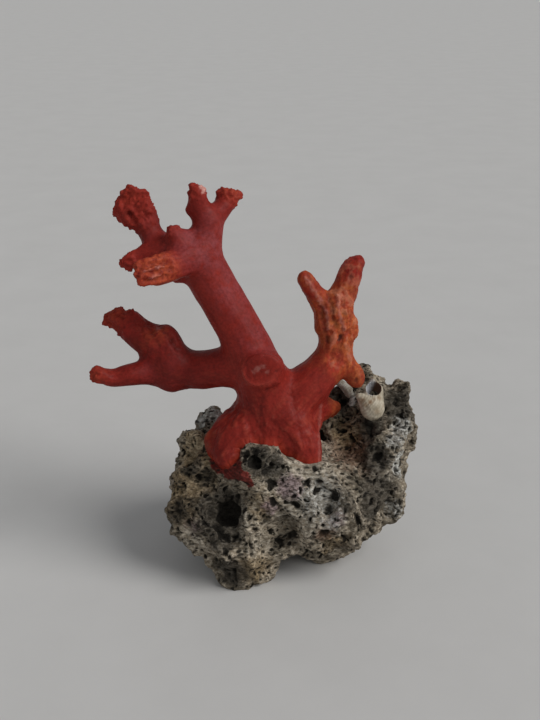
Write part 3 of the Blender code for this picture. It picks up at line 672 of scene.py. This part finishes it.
fine_furrows = furrows_at(coral_places, 0.42, 7.0)
broad_furrows = furrows_at(coral_places + 3.0, 1.3, 12.0)
soft_lumps = lumps_at(coral_places, 3.4, 2, 0.9)
knots = lumps_at((coral_places + 20.0) * np.array((1.0, 1.0, 0.62)), 1.7, 3, 0.75)
grains = hollows_at(warped(coral_places, 0.9, 0.45) + 40.0, 1.5, 0.1, 0.7)
splinters = lumps_at(coral_places + 60.0, 1.3, 3, 0.55)
ragged_tips = tips * (1.0 - right_branch) * (1.0 - 0.6 * fluted)
relief = -SWELL + FULLNESS + fine_furrows * (FINE_DEEP + FINE_DEEPER * foot)
relief += broad_furrows * (BROAD_DEEP + BROAD_DEEPER * foot)
relief += soft_lumps * (LUMPS_HIGH + LUMPS_HIGHER * knotted)
relief += knots * (KNOTS_HIGH + KNOTS_HIGHER * knotted)
relief += fluted * (broad_furrows * 0.5 + fine_furrows * 0.14)
relief += ragged_tips * (grains * 0.04 + splinters * 0.46 - 0.1 + broad_furrows * 0.42)
relief -= cover_of(coral_places, SLIMMED_PLACES)

frayed = warped(coral_places, 0.7, 0.45)
scars, worn = np.zeros(len(coral_places)), np.zeros(len(coral_places))
# The dark colour in the scars and creases is painted shade; the paleness along raised ridges, kept with the
# worn places, is a painted highlight.
for middle, radius, depth, darkness in seen_middles(coral_sight, SCARS):
    near = reach_of(frayed, middle, radius * SCAR_SPREAD)
    relief -= near * depth
    scars = np.maximum(scars, ramp(near, 0.1, 0.7) * darkness)
for points, radius, depth, darkness, paleness in CREASES:
    near = seen_cover(frayed, coral_sight, beads_on(points, radius))
    relief -= near * depth
    scars = np.maximum(scars, near * darkness)
    worn = np.maximum(worn, near * paleness)
for middle, radius, paleness in seen_middles(coral_sight, WORN_PLACES):
    worn = np.maximum(worn, ramp(reach_of(frayed, middle, radius * SPREAD), 0.05, 0.6) * paleness)
relief *= ramp(distance_to(coral_places, stone_top, 2.0), 0.0, 1.0) * 0.8 + 0.2
grown = coral_places + coral_normals * relief[:, None]
print("the furrows go from", fine_furrows.min().round(2), "to", fine_furrows.max().round(2))

# %% [markdown]
# ## The broken stub
#
# Low on the front of the trunk a branch has broken off. What is left is a round flat face, tilted a
# little upwards, with a raised rim that catches the light along its lower side, where the finish also
# paints a highlight. The points in front of that face are pressed back onto it, and the rim is raised
# again.

# %% The stub's face
STUB = np.array((-2.5, -6.9, 50.5)) + SHIFT
STUB_FACING = np.array((-0.05, -0.97, 0.2))
STUB_HALF_WIDTH, STUB_HALF_HEIGHT = 3.8, 3.7
RIM_WIDTH = 0.15  # as a share of the stub's own half width
RIM_HEIGHT = 0.2
FACE_REACH, RIM_REACH = 2.5, 2.2  # how far behind the face the skin still belongs to it

facing = unit(STUB_FACING)
to_right = unit(np.cross((0.0, 0.0, 1.0), facing))
to_top = np.cross(facing, to_right)
from_stub = grown - STUB
proud = from_stub @ facing
across, upward = from_stub @ to_right, from_stub @ to_top
uneven = 1.0 + 0.07 * noise_at(grown + 9.0, 3.0)
outward = np.hypot(across / STUB_HALF_WIDTH, upward / STUB_HALF_HEIGHT) * uneven
on_stub = (1.0 - ramp(outward, 0.9, 1.06)) * (proud > -FACE_REACH)
lower_left = ramp(-upward * 0.9 - across * 0.45, -2.4, 2.2)
rim = np.exp(-((outward - 0.98) / RIM_WIDTH) ** 2) * (proud > -RIM_REACH) * lower_left
face_level = -0.35 + 0.3 * outward**2 + 0.1 * noise_at(grown, 1.3)
grown += facing * ((face_level - proud) * on_stub * (0.2 + 0.6 * lower_left))[:, None]
grown += facing * (rim * RIM_HEIGHT)[:, None]
grown = pressed_into(grown, stone_top, reach=1.5, depth=0.9)
move_points(coral_mesh, grown)
print("the stub's face has", int((on_stub > 0.5).sum()), "points")

# %% What the coral's finish reads
stone_below = distance_to(grown, stone_top, 4.0)
lit_side = ramp(coral_normals @ np.array(SHEEN_FACING), -0.25, 0.85)
mark(
    coral_mesh,
    furrow=held(fine_furrows * 0.7 + 0.5),
    band=held(broad_furrows * 0.8 + 0.5),
    orange=held(cover_of(coral_places, ORANGE_PLACES)),
    dark=cover_of(coral_places, PAINTED_SHADE_PLACES),
    bright=cover_of(coral_places, BRIGHT_PLACES),
    tip=tips,
    knot=held(knots * 1.2 + 0.5) * knotted,
    scar=held(scars),
    grain=held(grains * 0.6 + splinters * 0.5) * ragged_tips,
    rim=rim,
    edge=1.0 - ramp(stone_below, 0.3, 1.6),
    foot=foot,
    bloom=cover_of(coral_places, DUST_AND_SHEEN_PLACES) * lit_side,
    # worn: pale wear, and painted highlights along raised ridges
    worn=worn,
)
coral = piece_of("coral_branch", coral_mesh, coral_nodes)

# %% [markdown]
# ## The snail shell and the worm's tube
#
# Both are chalk: a rounded shell with its mouth turned up, and a crooked tube laid down in rings. Their
# solids are small, so a finer grid is cheap. Rings of growth are waves in the distance from a point
# near the shell's spire, or along the tube.

# %% The shell and the tube
SHELL_GRID = 0.13
SPIRE = np.array((20.2, 3.6, 39.7)) + SHIFT
TUBE_ENDS = np.array(((15.4, 14.0, 39.4), (19.4, 10.0, 36.8))) + SHIFT
MOUTH_ENDS = np.array(((23.6, 4.4, 41.6), (23.5, 5.2, 38.2))) + SHIFT
MOUTH_RADIUS = 2.1
RINGS = 0.55  # from one ring to the next
SHELL_SPOTS = [  # brown stains: across and down the picture, radius, how dark
    (370.5, 402, 0.6, 0.9), (379, 398, 0.7, 0.6), (362, 400, 0.8, 0.7), (377, 412, 0.9, 0.4),
    (366, 405, 0.6, 0.6), (374, 399, 0.5, 0.6), (360, 409, 0.6, 0.5), (383, 406, 0.5, 0.4),
]


def rings_at(run):
    """Waves from 0 to 1 along a run in millimetres."""
    return np.sin(run * 2.0 * math.pi / RINGS) * 0.5 + 0.5


shell_mesh = eased(skin_over(merged_copy(["snail_shell"]), SHELL_GRID), 5)
shell_places = places_of(shell_mesh)
shell_normals = normals_of(shell_mesh)
from_spire = np.linalg.norm(shell_places - SPIRE, axis=1) + 0.25 * noise_at(shell_places, 1.5)
shell_rings = rings_at(from_spire)
shell_relief = shell_rings * 0.07 + lumps_at(shell_places, 1.1, 3, 0.8) * 0.1
move_points(shell_mesh, shell_places + shell_normals * shell_relief[:, None])
mouth_way = unit(MOUTH_ENDS[1] - MOUTH_ENDS[0])
in_mouth = shell_places - MOUTH_ENDS[0]
depth_in = in_mouth @ mouth_way
off_axis = in_mouth - depth_in[:, None] * mouth_way
facing_in = -(off_axis * shell_normals).sum(1) - (shell_normals @ mouth_way) * 0.8
inside = ramp(facing_in, 0.1, 0.6) * (np.linalg.norm(off_axis, axis=1) < MOUTH_RADIUS)
mark(
    shell_mesh,
    ring=shell_rings,
    mouth=inside * ramp(depth_in, -1.2, 0.0),
    mouth_right=ramp(off_axis[:, 0] + depth_in * 0.25, -0.5, 0.9),
    spot=seen_cover(shell_places, sight_of(shell_mesh), SHELL_SPOTS),
)
shell = piece_of("snail_shell_fine", shell_mesh, ["snail_shell"])

tube_mesh = eased(skin_over(merged_copy(["worm_tube"]), SHELL_GRID), 4)
tube_places = places_of(tube_mesh)
tube_run = (tube_places - TUBE_ENDS[0]) @ unit(TUBE_ENDS[1] - TUBE_ENDS[0])
tube_rings = rings_at(tube_run + 0.2 * noise_at(tube_places, 1.2))
tube_relief = tube_rings * 0.06 + lumps_at(tube_places, 1.0, 2, 0.8) * 0.08
move_points(tube_mesh, tube_places + normals_of(tube_mesh) * tube_relief[:, None])
mark(tube_mesh, ring=tube_rings)
tube = piece_of("worm_tube_fine", tube_mesh, ["worm_tube"])

# %% [markdown]
# ## Effects that several finishes share
#
# A node group is a small machine that is built once and placed in each finish with its own values. Two
# are enough here: mottling, which blends two colours in soft blotches, and pinholes, which gives the
# places of tiny round holes too fine for the mesh.

# %% Nodes, links and groups
def feed(tree, source, target):
    """Links an output to an input, or sets the input where the source is a plain value."""
    if isinstance(source, bpy.types.NodeSocket):
        tree.links.new(source, target)
    elif target.type == "RGBA":
        target.default_value = (*source, 1.0)
    else:
        target.default_value = source


def add(tree, kind, sources, **settings):
    """A new node, with its own settings, and with its inputs fed by their names or numbers."""
    node = tree.nodes.new(kind)
    for name, value in settings.items():
        setattr(node, name, value)
    for name, source in sources.items():
        feed(tree, source, node.inputs[name])
    return node


def math_of(tree, operation, first, second):
    return add(tree, "ShaderNodeMath", {0: first, 1: second}, operation=operation).outputs[0]


def sum_of(tree, first, second):
    return math_of(tree, "ADD", first, second)


def product_of(tree, first, second):
    return math_of(tree, "MULTIPLY", first, second)


def blend_of(tree, share, first, second, way="MIX"):
    """Two colours blended. The colour sockets of a Mix node are numbers 6 and 7, its result is 2."""
    sources = {0: share, 6: first, 7: second}
    return add(tree, "ShaderNodeMix", sources, data_type="RGBA", blend_type=way).outputs[2]


def over(tree, mask, cover, below, above):
    """One colour laid over another where the mask says, as densely as the cover."""
    return blend_of(tree, product_of(tree, mask, cover), below, above)


def layered(tree, colour, layers):
    """Layers of colour on a ground: the mask of each, how densely it covers there, and its colour."""
    for mask, cover, paint in layers:
        colour = over(tree, mask, cover, colour, paint)
    return colour


def step_of(tree, value, low, high, from_low=0.0, to_high=1.0):
    """A soft step from one level to another, as the value goes from low to high."""
    sources = {"Value": value, "From Min": low, "From Max": high, "To Min": from_low, "To Max": to_high}
    return add(tree, "ShaderNodeMapRange", sources, interpolation_type="SMOOTHSTEP").outputs["Result"]


def blotches_of(tree, where, size, detail=3.0, roughness=0.55):
    """Noise whose blotches are about this many millimetres across."""
    sources = {"Vector": where, "Scale": 1.0 / (size * MM), "Detail": detail, "Roughness": roughness}
    return add(tree, "ShaderNodeTexNoise", sources).outputs["Fac"]


def new_group(name, inputs, outputs):
    """A group with its named sockets and their kinds, and what goes in and out of it on its inside."""
    group = bpy.data.node_groups.new(name, "ShaderNodeTree")
    for side, sockets in (("INPUT", inputs), ("OUTPUT", outputs)):
        for label, kind in sockets.items():
            group.interface.new_socket(label, in_out=side, socket_type="NodeSocket" + kind)
    given, result = group.nodes.new("NodeGroupInput"), group.nodes.new("NodeGroupOutput")
    return group, given.outputs, result.inputs


# %% Mottling and pinholes
mottling, given, result = new_group(
    "mottling",
    {"Where": "Vector", "Scale": "Float", "First": "Color", "Second": "Color", "Sharpness": "Float"},
    {"Color": "Color", "Share": "Float"},
)
cloud = add(mottling, "ShaderNodeTexNoise", {
    "Vector": given["Where"], "Scale": given["Scale"], "Detail": 5.0, "Roughness": 0.62})
lower = math_of(mottling, "SUBTRACT", 0.5, given["Sharpness"])
upper = sum_of(mottling, 0.5, given["Sharpness"])
share = step_of(mottling, cloud.outputs["Fac"], lower, upper)
feed(mottling, blend_of(mottling, share, given["First"], given["Second"]), result["Color"])
feed(mottling, share, result["Share"])

pinholes, given, result = new_group(
    "pinholes",
    {"Where": "Vector", "Scale": "Float", "Width": "Float", "Gone": "Float", "Warp": "Float"},
    {"Mask": "Float", "Depth": "Float"},
)
where, scale = given["Where"], given["Scale"]
swirl = add(pinholes, "ShaderNodeTexNoise", {"Vector": where, "Scale": product_of(pinholes, scale, 0.8)})
moved = swirl.outputs["Color"]
for operation, sources in (  # noise around 0, as strong as the warp, is added to the place
    ("SUBTRACT", {1: (0.5, 0.5, 0.5)}), ("SCALE", {"Scale": given["Warp"]}), ("ADD", {1: where}),
):
    moved = add(pinholes, "ShaderNodeVectorMath", {0: moved, **sources}, operation=operation).outputs[0]
cells = add(pinholes, "ShaderNodeTexVoronoi", {"Vector": moved, "Scale": scale}, feature="F1")
luck = add(pinholes, "ShaderNodeSeparateColor", {"Color": cells.outputs["Color"]})
kept = math_of(pinholes, "SUBTRACT", luck.outputs["Red"], given["Gone"])
width = product_of(pinholes, math_of(pinholes, "MAXIMUM", kept, 0.0), given["Width"])
core = product_of(pinholes, width, 0.35)
mask = step_of(pinholes, cells.outputs["Distance"], core, sum_of(pinholes, width, 0.001), 1.0, 0.0)
feed(pinholes, mask, result["Mask"])
feed(pinholes, product_of(pinholes, mask, -1.0), result["Depth"])
print("groups:", mottling.name, pinholes.name)


# %% A finish's frame
def new_finish(name, roughness, specular):
    """A material, its node tree, its shader, and the object's coordinates."""
    material = bpy.data.materials.new(name)
    material.use_nodes = True
    tree = material.node_tree
    shader = tree.nodes["Principled BSDF"]
    feed(tree, roughness, shader.inputs["Roughness"])
    feed(tree, specular, shader.inputs["Specular IOR Level"])
    where = add(tree, "ShaderNodeTexCoord", {}).outputs["Object"]
    return material, tree, shader, where


def marked(tree, name):
    return add(tree, "ShaderNodeAttribute", {}, attribute_name=name).outputs["Fac"]


def mottled(tree, where, scale, sharpness, first, second):
    """Two colours in blotches. The scale is about how many there are in a metre."""
    sources = {"Where": where, "Scale": scale, "Sharpness": sharpness, "First": first, "Second": second}
    return add(tree, "ShaderNodeGroup", sources, node_tree=mottling).outputs


def pinholed(tree, where, scale, width, gone, warp):
    """Tiny holes: their scale, how wide they are, what share of them is left out, how far they stray."""
    sources = {"Where": where, "Scale": scale, "Width": width, "Gone": gone, "Warp": warp}
    return add(tree, "ShaderNodeGroup", sources, node_tree=pinholes).outputs


def raise_by(tree, shader, height, distance, strength):
    """Turns heights into shading, with the full height this many millimetres."""
    sources = {"Height": height, "Distance": distance * MM, "Strength": strength}
    feed(tree, add(tree, "ShaderNodeBump", sources).outputs["Normal"], shader.inputs["Normal"])


def wear(piece, material, colour):
    """Gives the piece its finish, in this colour."""
    feed(material.node_tree, colour, material.node_tree.nodes["Principled BSDF"].inputs["Base Color"])
    piece.data.materials.clear()
    piece.data.materials.append(material)


# %% [markdown]
# ## The stone's finish
#
# Reef rock is grey-brown and chalky. Its ridges get a painted highlight, its hollows are painted nearly
# black as shade, and crusts of lime, lilac algae, rust, ochre and dark silt lie over it in patches; the
# silt also stands for painted shade round the caves and on the stone's darker faces. The dark red film
# below the coral's foot is the last thin skin of the coral. The relief gave the mesh its marks for
# hollows, crests and stains; noise breaks their edges up.

# %% The stone's finish
CRUSTS = (  # colour, size of its breaks in millimetres, how soft its edge is, how well it covers
    ("pale", (0.68, 0.61, 0.5), 2.2, 0.34, 0.75),
    ("rust", (0.3, 0.15, 0.085), 1.3, 0.26, 0.65),
    ("ochre", (0.46, 0.33, 0.175), 1.7, 0.28, 0.65),
    ("lilac", (0.44, 0.3, 0.35), 1.0, 0.24, 0.65),
    # a dark crust of silt, partly painted shade
    ("silt_and_shade", (0.07, 0.062, 0.052), 1.2, 0.3, 0.8),
    ("lime", (0.8, 0.8, 0.76), 0.7, 0.2, 0.85),
    ("film", (0.23, 0.02, 0.016), 0.8, 0.14, 0.94),
)
CRUST_EDGE = 0.86  # a crust lies where its mark and its noise add up to more than this
GRAIN_TURN = (0.35, 0.6, 0.2)  # the pits run down to the right
GRAIN_STRETCH = (0.55, 0.92, 1.1)

stone_finish, tree, shader, where = new_finish("porous_reef_stone", 0.92, 0.2)
sources = {"Vector": where, "Rotation": GRAIN_TURN, "Scale": GRAIN_STRETCH}
grain = add(tree, "ShaderNodeMapping", sources).outputs["Vector"]
colour = mottled(tree, where, 230.0, 0.14, (0.235, 0.202, 0.152), (0.66, 0.57, 0.445))["Color"]
breakup = blotches_of(tree, where, 0.9, 5.0, 0.7)
# Painted highlight: the crests of the relief are paler.
crest_share = product_of(tree, marked(tree, "crest"), step_of(tree, breakup, 0.36, 0.6))
colour = over(tree, crest_share, 0.75, colour, (0.76, 0.69, 0.57))
for name, crust, size, soft, cover in CRUSTS:
    patchy = sum_of(tree, marked(tree, name), blotches_of(tree, where, size, 5.0, 0.65))
    colour = over(tree, step_of(tree, patchy, CRUST_EDGE - soft, CRUST_EDGE + soft), cover, colour, crust)
# Painted shade: the pits, caves and low places are darkened nearly to black.
hollow = marked(tree, "hollow")
shaded = sum_of(tree, hollow, product_of(tree, breakup, 0.3))
colour = blend_of(tree, step_of(tree, shaded, 0.25, 0.9, 0.0, 0.94), colour, (0.024, 0.021, 0.017))
speckle = mottled(tree, grain, 1500.0, 0.11, (0.38, 0.35, 0.31), (1.0, 1.0, 1.0))
colour = blend_of(tree, 0.85, colour, speckle["Color"], "MULTIPLY")
holes = pinholed(tree, grain, 950.0, 0.95, 0.28, 0.0008)
pores = pinholed(tree, grain, 1900.0, 0.85, 0.25, 0.0004)
# Painted shade: the tiny holes and pores are laid on nearly black.
colour = layered(tree, colour, (
    (holes["Mask"], 0.9, (0.02, 0.017, 0.013)),
    (pores["Mask"], 0.6, (0.04, 0.034, 0.026)),
))
grainy = sum_of(tree, breakup, product_of(tree, speckle["Share"], 0.5))
pitted = sum_of(tree, product_of(tree, holes["Depth"], 0.9), grainy)
pitted = sum_of(tree, pitted, product_of(tree, pores["Depth"], 0.5))
raise_by(tree, shader, pitted, distance=0.45, strength=0.9)
wear(stone, stone_finish, colour)

# %% [markdown]
# ## The coral's finish
#
# The skin is deep red with darker furrows, and has a dull gloss like unpolished horn. Where dust and
# old skin lie on it, it looks violet and matt, and on the sides that face up and to the right that violet
# is also a painted sheen. The left branch gets painted shade. The right-hand branch is salmon to orange,
# with a painted highlight on its knots and painted shade between them, and the sheaf of fingers at the
# crown and some of the tips are a fresh orange red. Pale streaks run down the foot, and its thin edge on
# the stone is brighter again.

# %% The coral's finish
coral_finish, tree, shader, where = new_finish("red_coral_skin", 0.42, 0.15)
ground = mottled(tree, where, 200.0, 0.26, (0.275, 0.016, 0.012), (0.435, 0.032, 0.021))
salmon = mottled(tree, where, 650.0, 0.16, (0.41, 0.054, 0.016), (0.58, 0.15, 0.044))
fine_grain = mottled(tree, where, 1700.0, 0.16, (0.66, 0.62, 0.62), (1.0, 1.0, 1.0))
dots = pinholed(tree, where, 560.0, 0.3, 0.62, 0.0004)
flecks = pinholed(tree, where, 760.0, 0.42, 0.72, 0.0006)

furrow, band, knot, low = (marked(tree, name) for name in ("furrow", "band", "knot", "foot"))
paler_below = sum_of(tree, product_of(tree, low, 0.42), 0.12)
uneven_orange = sum_of(tree, marked(tree, "orange"), blotches_of(tree, where, 2.4))
dusty = step_of(tree, blotches_of(tree, where, 2.0), 0.25, 0.7)
bloomed = product_of(tree, marked(tree, "bloom"), dusty)
shade = product_of(tree, marked(tree, "dark"), 0.75)
fresh = step_of(tree, blotches_of(tree, where, 0.9), 0.3, 0.62)
uneven_wear = step_of(tree, blotches_of(tree, where, 0.5), 0.25, 0.6, 0.4, 1.0)

colour = layered(tree, ground["Color"], (
    (step_of(tree, furrow, 0.6, 0.1), 0.3, (0.12, 0.009, 0.01)),
    (step_of(tree, band, 0.5, 0.95), paler_below, (0.56, 0.08, 0.046)),
    (product_of(tree, step_of(tree, furrow, 0.62, 0.98), low), 0.3, (0.66, 0.17, 0.11)),
    (step_of(tree, uneven_orange, 0.6, 1.45), 1.0, salmon["Color"]),
    # Painted highlight on the tops of the knots, and painted shade between them.
    (step_of(tree, knot, 0.55, 1.0), 0.5, (0.6, 0.22, 0.13)),
    (step_of(tree, knot, 0.42, 0.1), 0.45, (0.2, 0.022, 0.014)),
    (marked(tree, "tip"), 0.4, (0.37, 0.036, 0.022)),
    (marked(tree, "grain"), 0.3, (0.5, 0.06, 0.036)),
    # Violet dust, with a painted sheen on the sides that face the light.
    (bloomed, 0.7, (0.315, 0.078, 0.088)),
))
# Painted shade, strongest on the left branch.
colour = blend_of(tree, shade, colour, (0.5, 0.44, 0.5), "MULTIPLY")
colour = layered(tree, colour, (
    # Fresh orange red, with a painted highlight on the left branch's hump.
    (product_of(tree, marked(tree, "bright"), fresh), 0.85, (0.64, 0.115, 0.044)),
    (marked(tree, "edge"), 0.3, (0.56, 0.06, 0.022)),
    # Painted highlight along the stub's lower rim.
    (marked(tree, "rim"), 0.4, (0.56, 0.085, 0.06)),
    # Painted shade in tiny pits.
    (dots["Mask"], 0.45, (0.08, 0.008, 0.008)),
    (flecks["Mask"], 0.4, (0.62, 0.24, 0.19)),
))
colour = blend_of(tree, 0.75, colour, fine_grain["Color"], "MULTIPLY")
colour = layered(tree, colour, (
    # Pale wear, and painted highlights along the raised ridges.
    (marked(tree, "worn"), uneven_wear, (0.7, 0.36, 0.31)),
    # Painted shade in the scars and sunk creases.
    (marked(tree, "scar"), 0.85, (0.045, 0.01, 0.008)),
))
gloss = step_of(tree, blotches_of(tree, where, 0.8), 0.3, 0.7, 0.46, 0.58)
dull = sum_of(tree, product_of(tree, marked(tree, "tip"), 0.12), product_of(tree, bloomed, 0.15))
feed(tree, sum_of(tree, gloss, dull), shader.inputs["Roughness"])
skin_height = sum_of(tree, blotches_of(tree, where, 0.35, 4.0, 0.6), product_of(tree, furrow, 0.7))
raise_by(tree, shader, sum_of(tree, skin_height, dots["Depth"]), distance=0.1, strength=0.55)
wear(coral, coral_finish, colour)

# %% [markdown]
# ## Chalky shells
#
# The snail shell is worn and cream, greyer in its rings, with a brown inside at one side of its mouth.
# The worm's tube is the same chalk, dirtier.

# %% The finish of the shell and the tube
def chalk_finish(name, pale, dirty, ring_depth):
    material, tree, shader, where = new_finish(name, 0.62, 0.35)
    body = mottled(tree, where, 520.0, 0.2, dirty, pale)
    specks = pinholed(tree, where, 1500.0, 0.5, 0.5, 0.0003)
    colour = layered(tree, body["Color"], (
        (step_of(tree, marked(tree, "ring"), 0.45, 0.0), ring_depth, dirty),
        (specks["Mask"], 0.6, (0.1, 0.08, 0.06)),
    ))
    height = sum_of(tree, blotches_of(tree, where, 0.4), specks["Depth"])
    raise_by(tree, shader, height, distance=0.1, strength=0.7)
    return material, tree, colour


shell_finish, tree, colour = chalk_finish(
    "worn_snail_shell", (0.58, 0.52, 0.41), (0.33, 0.28, 0.2), ring_depth=0.35)
mother_of_pearl, mouth_brown = (0.46, 0.46, 0.48), (0.085, 0.038, 0.02)
mouth_colour = blend_of(tree, marked(tree, "mouth_right"), mother_of_pearl, mouth_brown)
wear(shell, shell_finish, layered(tree, colour, (
    (marked(tree, "spot"), 1.0, (0.23, 0.13, 0.06)),
    (marked(tree, "mouth"), 1.0, mouth_colour),
)))

tube_finish, _, colour = chalk_finish(
    "chalky_worm_tube", (0.46, 0.44, 0.39), (0.24, 0.21, 0.16), ring_depth=0.5)
wear(tube, tube_finish, colour)

# %% [markdown]
# ## Floor and light
#
# The coral stands on a plain pale floor. A broad soft sun, high on the right, lights the right sides
# and leaves the left branch in half shade, as in the picture. Unlike a near lamp it is equally strong
# everywhere, so the floor stays even up to its far edge. A weak one on the left keeps the dark sides
# readable, and a pale sky fills the rest.

# %% Floor and light
FLOOR_REACH = 12.0  # metres to each side, so that it fills the picture to its far edge

floor_form = bmesh.new()
bmesh.ops.create_grid(floor_form, x_segments=1, y_segments=1, size=FLOOR_REACH)
floor = placed("floor", mesh_of(floor_form, "floor"))
floor_finish, tree, _, where = new_finish("pale_floor", 0.8, 0.2)
pale = mottled(tree, where, 40.0, 0.4, (0.62, 0.615, 0.605), (0.66, 0.655, 0.645))
wear(floor, floor_finish, pale["Color"])


def soft_sun(name, comes_from, strength, breadth, colour):
    """A sun whose light comes from a direction, and is as soft as it is broad, in degrees."""
    data = bpy.data.lights.new(name, "SUN")
    data.energy = strength
    data.angle = math.radians(breadth)
    data.color = colour
    placed(name, data).rotation_euler = Vector(comes_from).to_track_quat("Z", "Y").to_euler()


soft_sun("key", (0.92, -0.4, 0.8), 1.95, 38, (1.0, 0.985, 0.965))
soft_sun("fill", (-0.6, -0.7, 0.45), 0.12, 60, (0.92, 0.95, 1.0))
soft_sun("back", (-0.1, 0.9, 0.45), 0.12, 60, (0.96, 0.97, 1.0))

world = bpy.data.worlds.new("studio")
world.use_nodes = True
sky = world.node_tree.nodes["Background"]
feed(world.node_tree, (0.86, 0.88, 0.9), sky.inputs["Color"])
feed(world.node_tree, 0.26, sky.inputs["Strength"])
bpy.context.scene.world = world
bpy.context.scene.view_settings.view_transform = "Standard"  # colours come out as they are painted
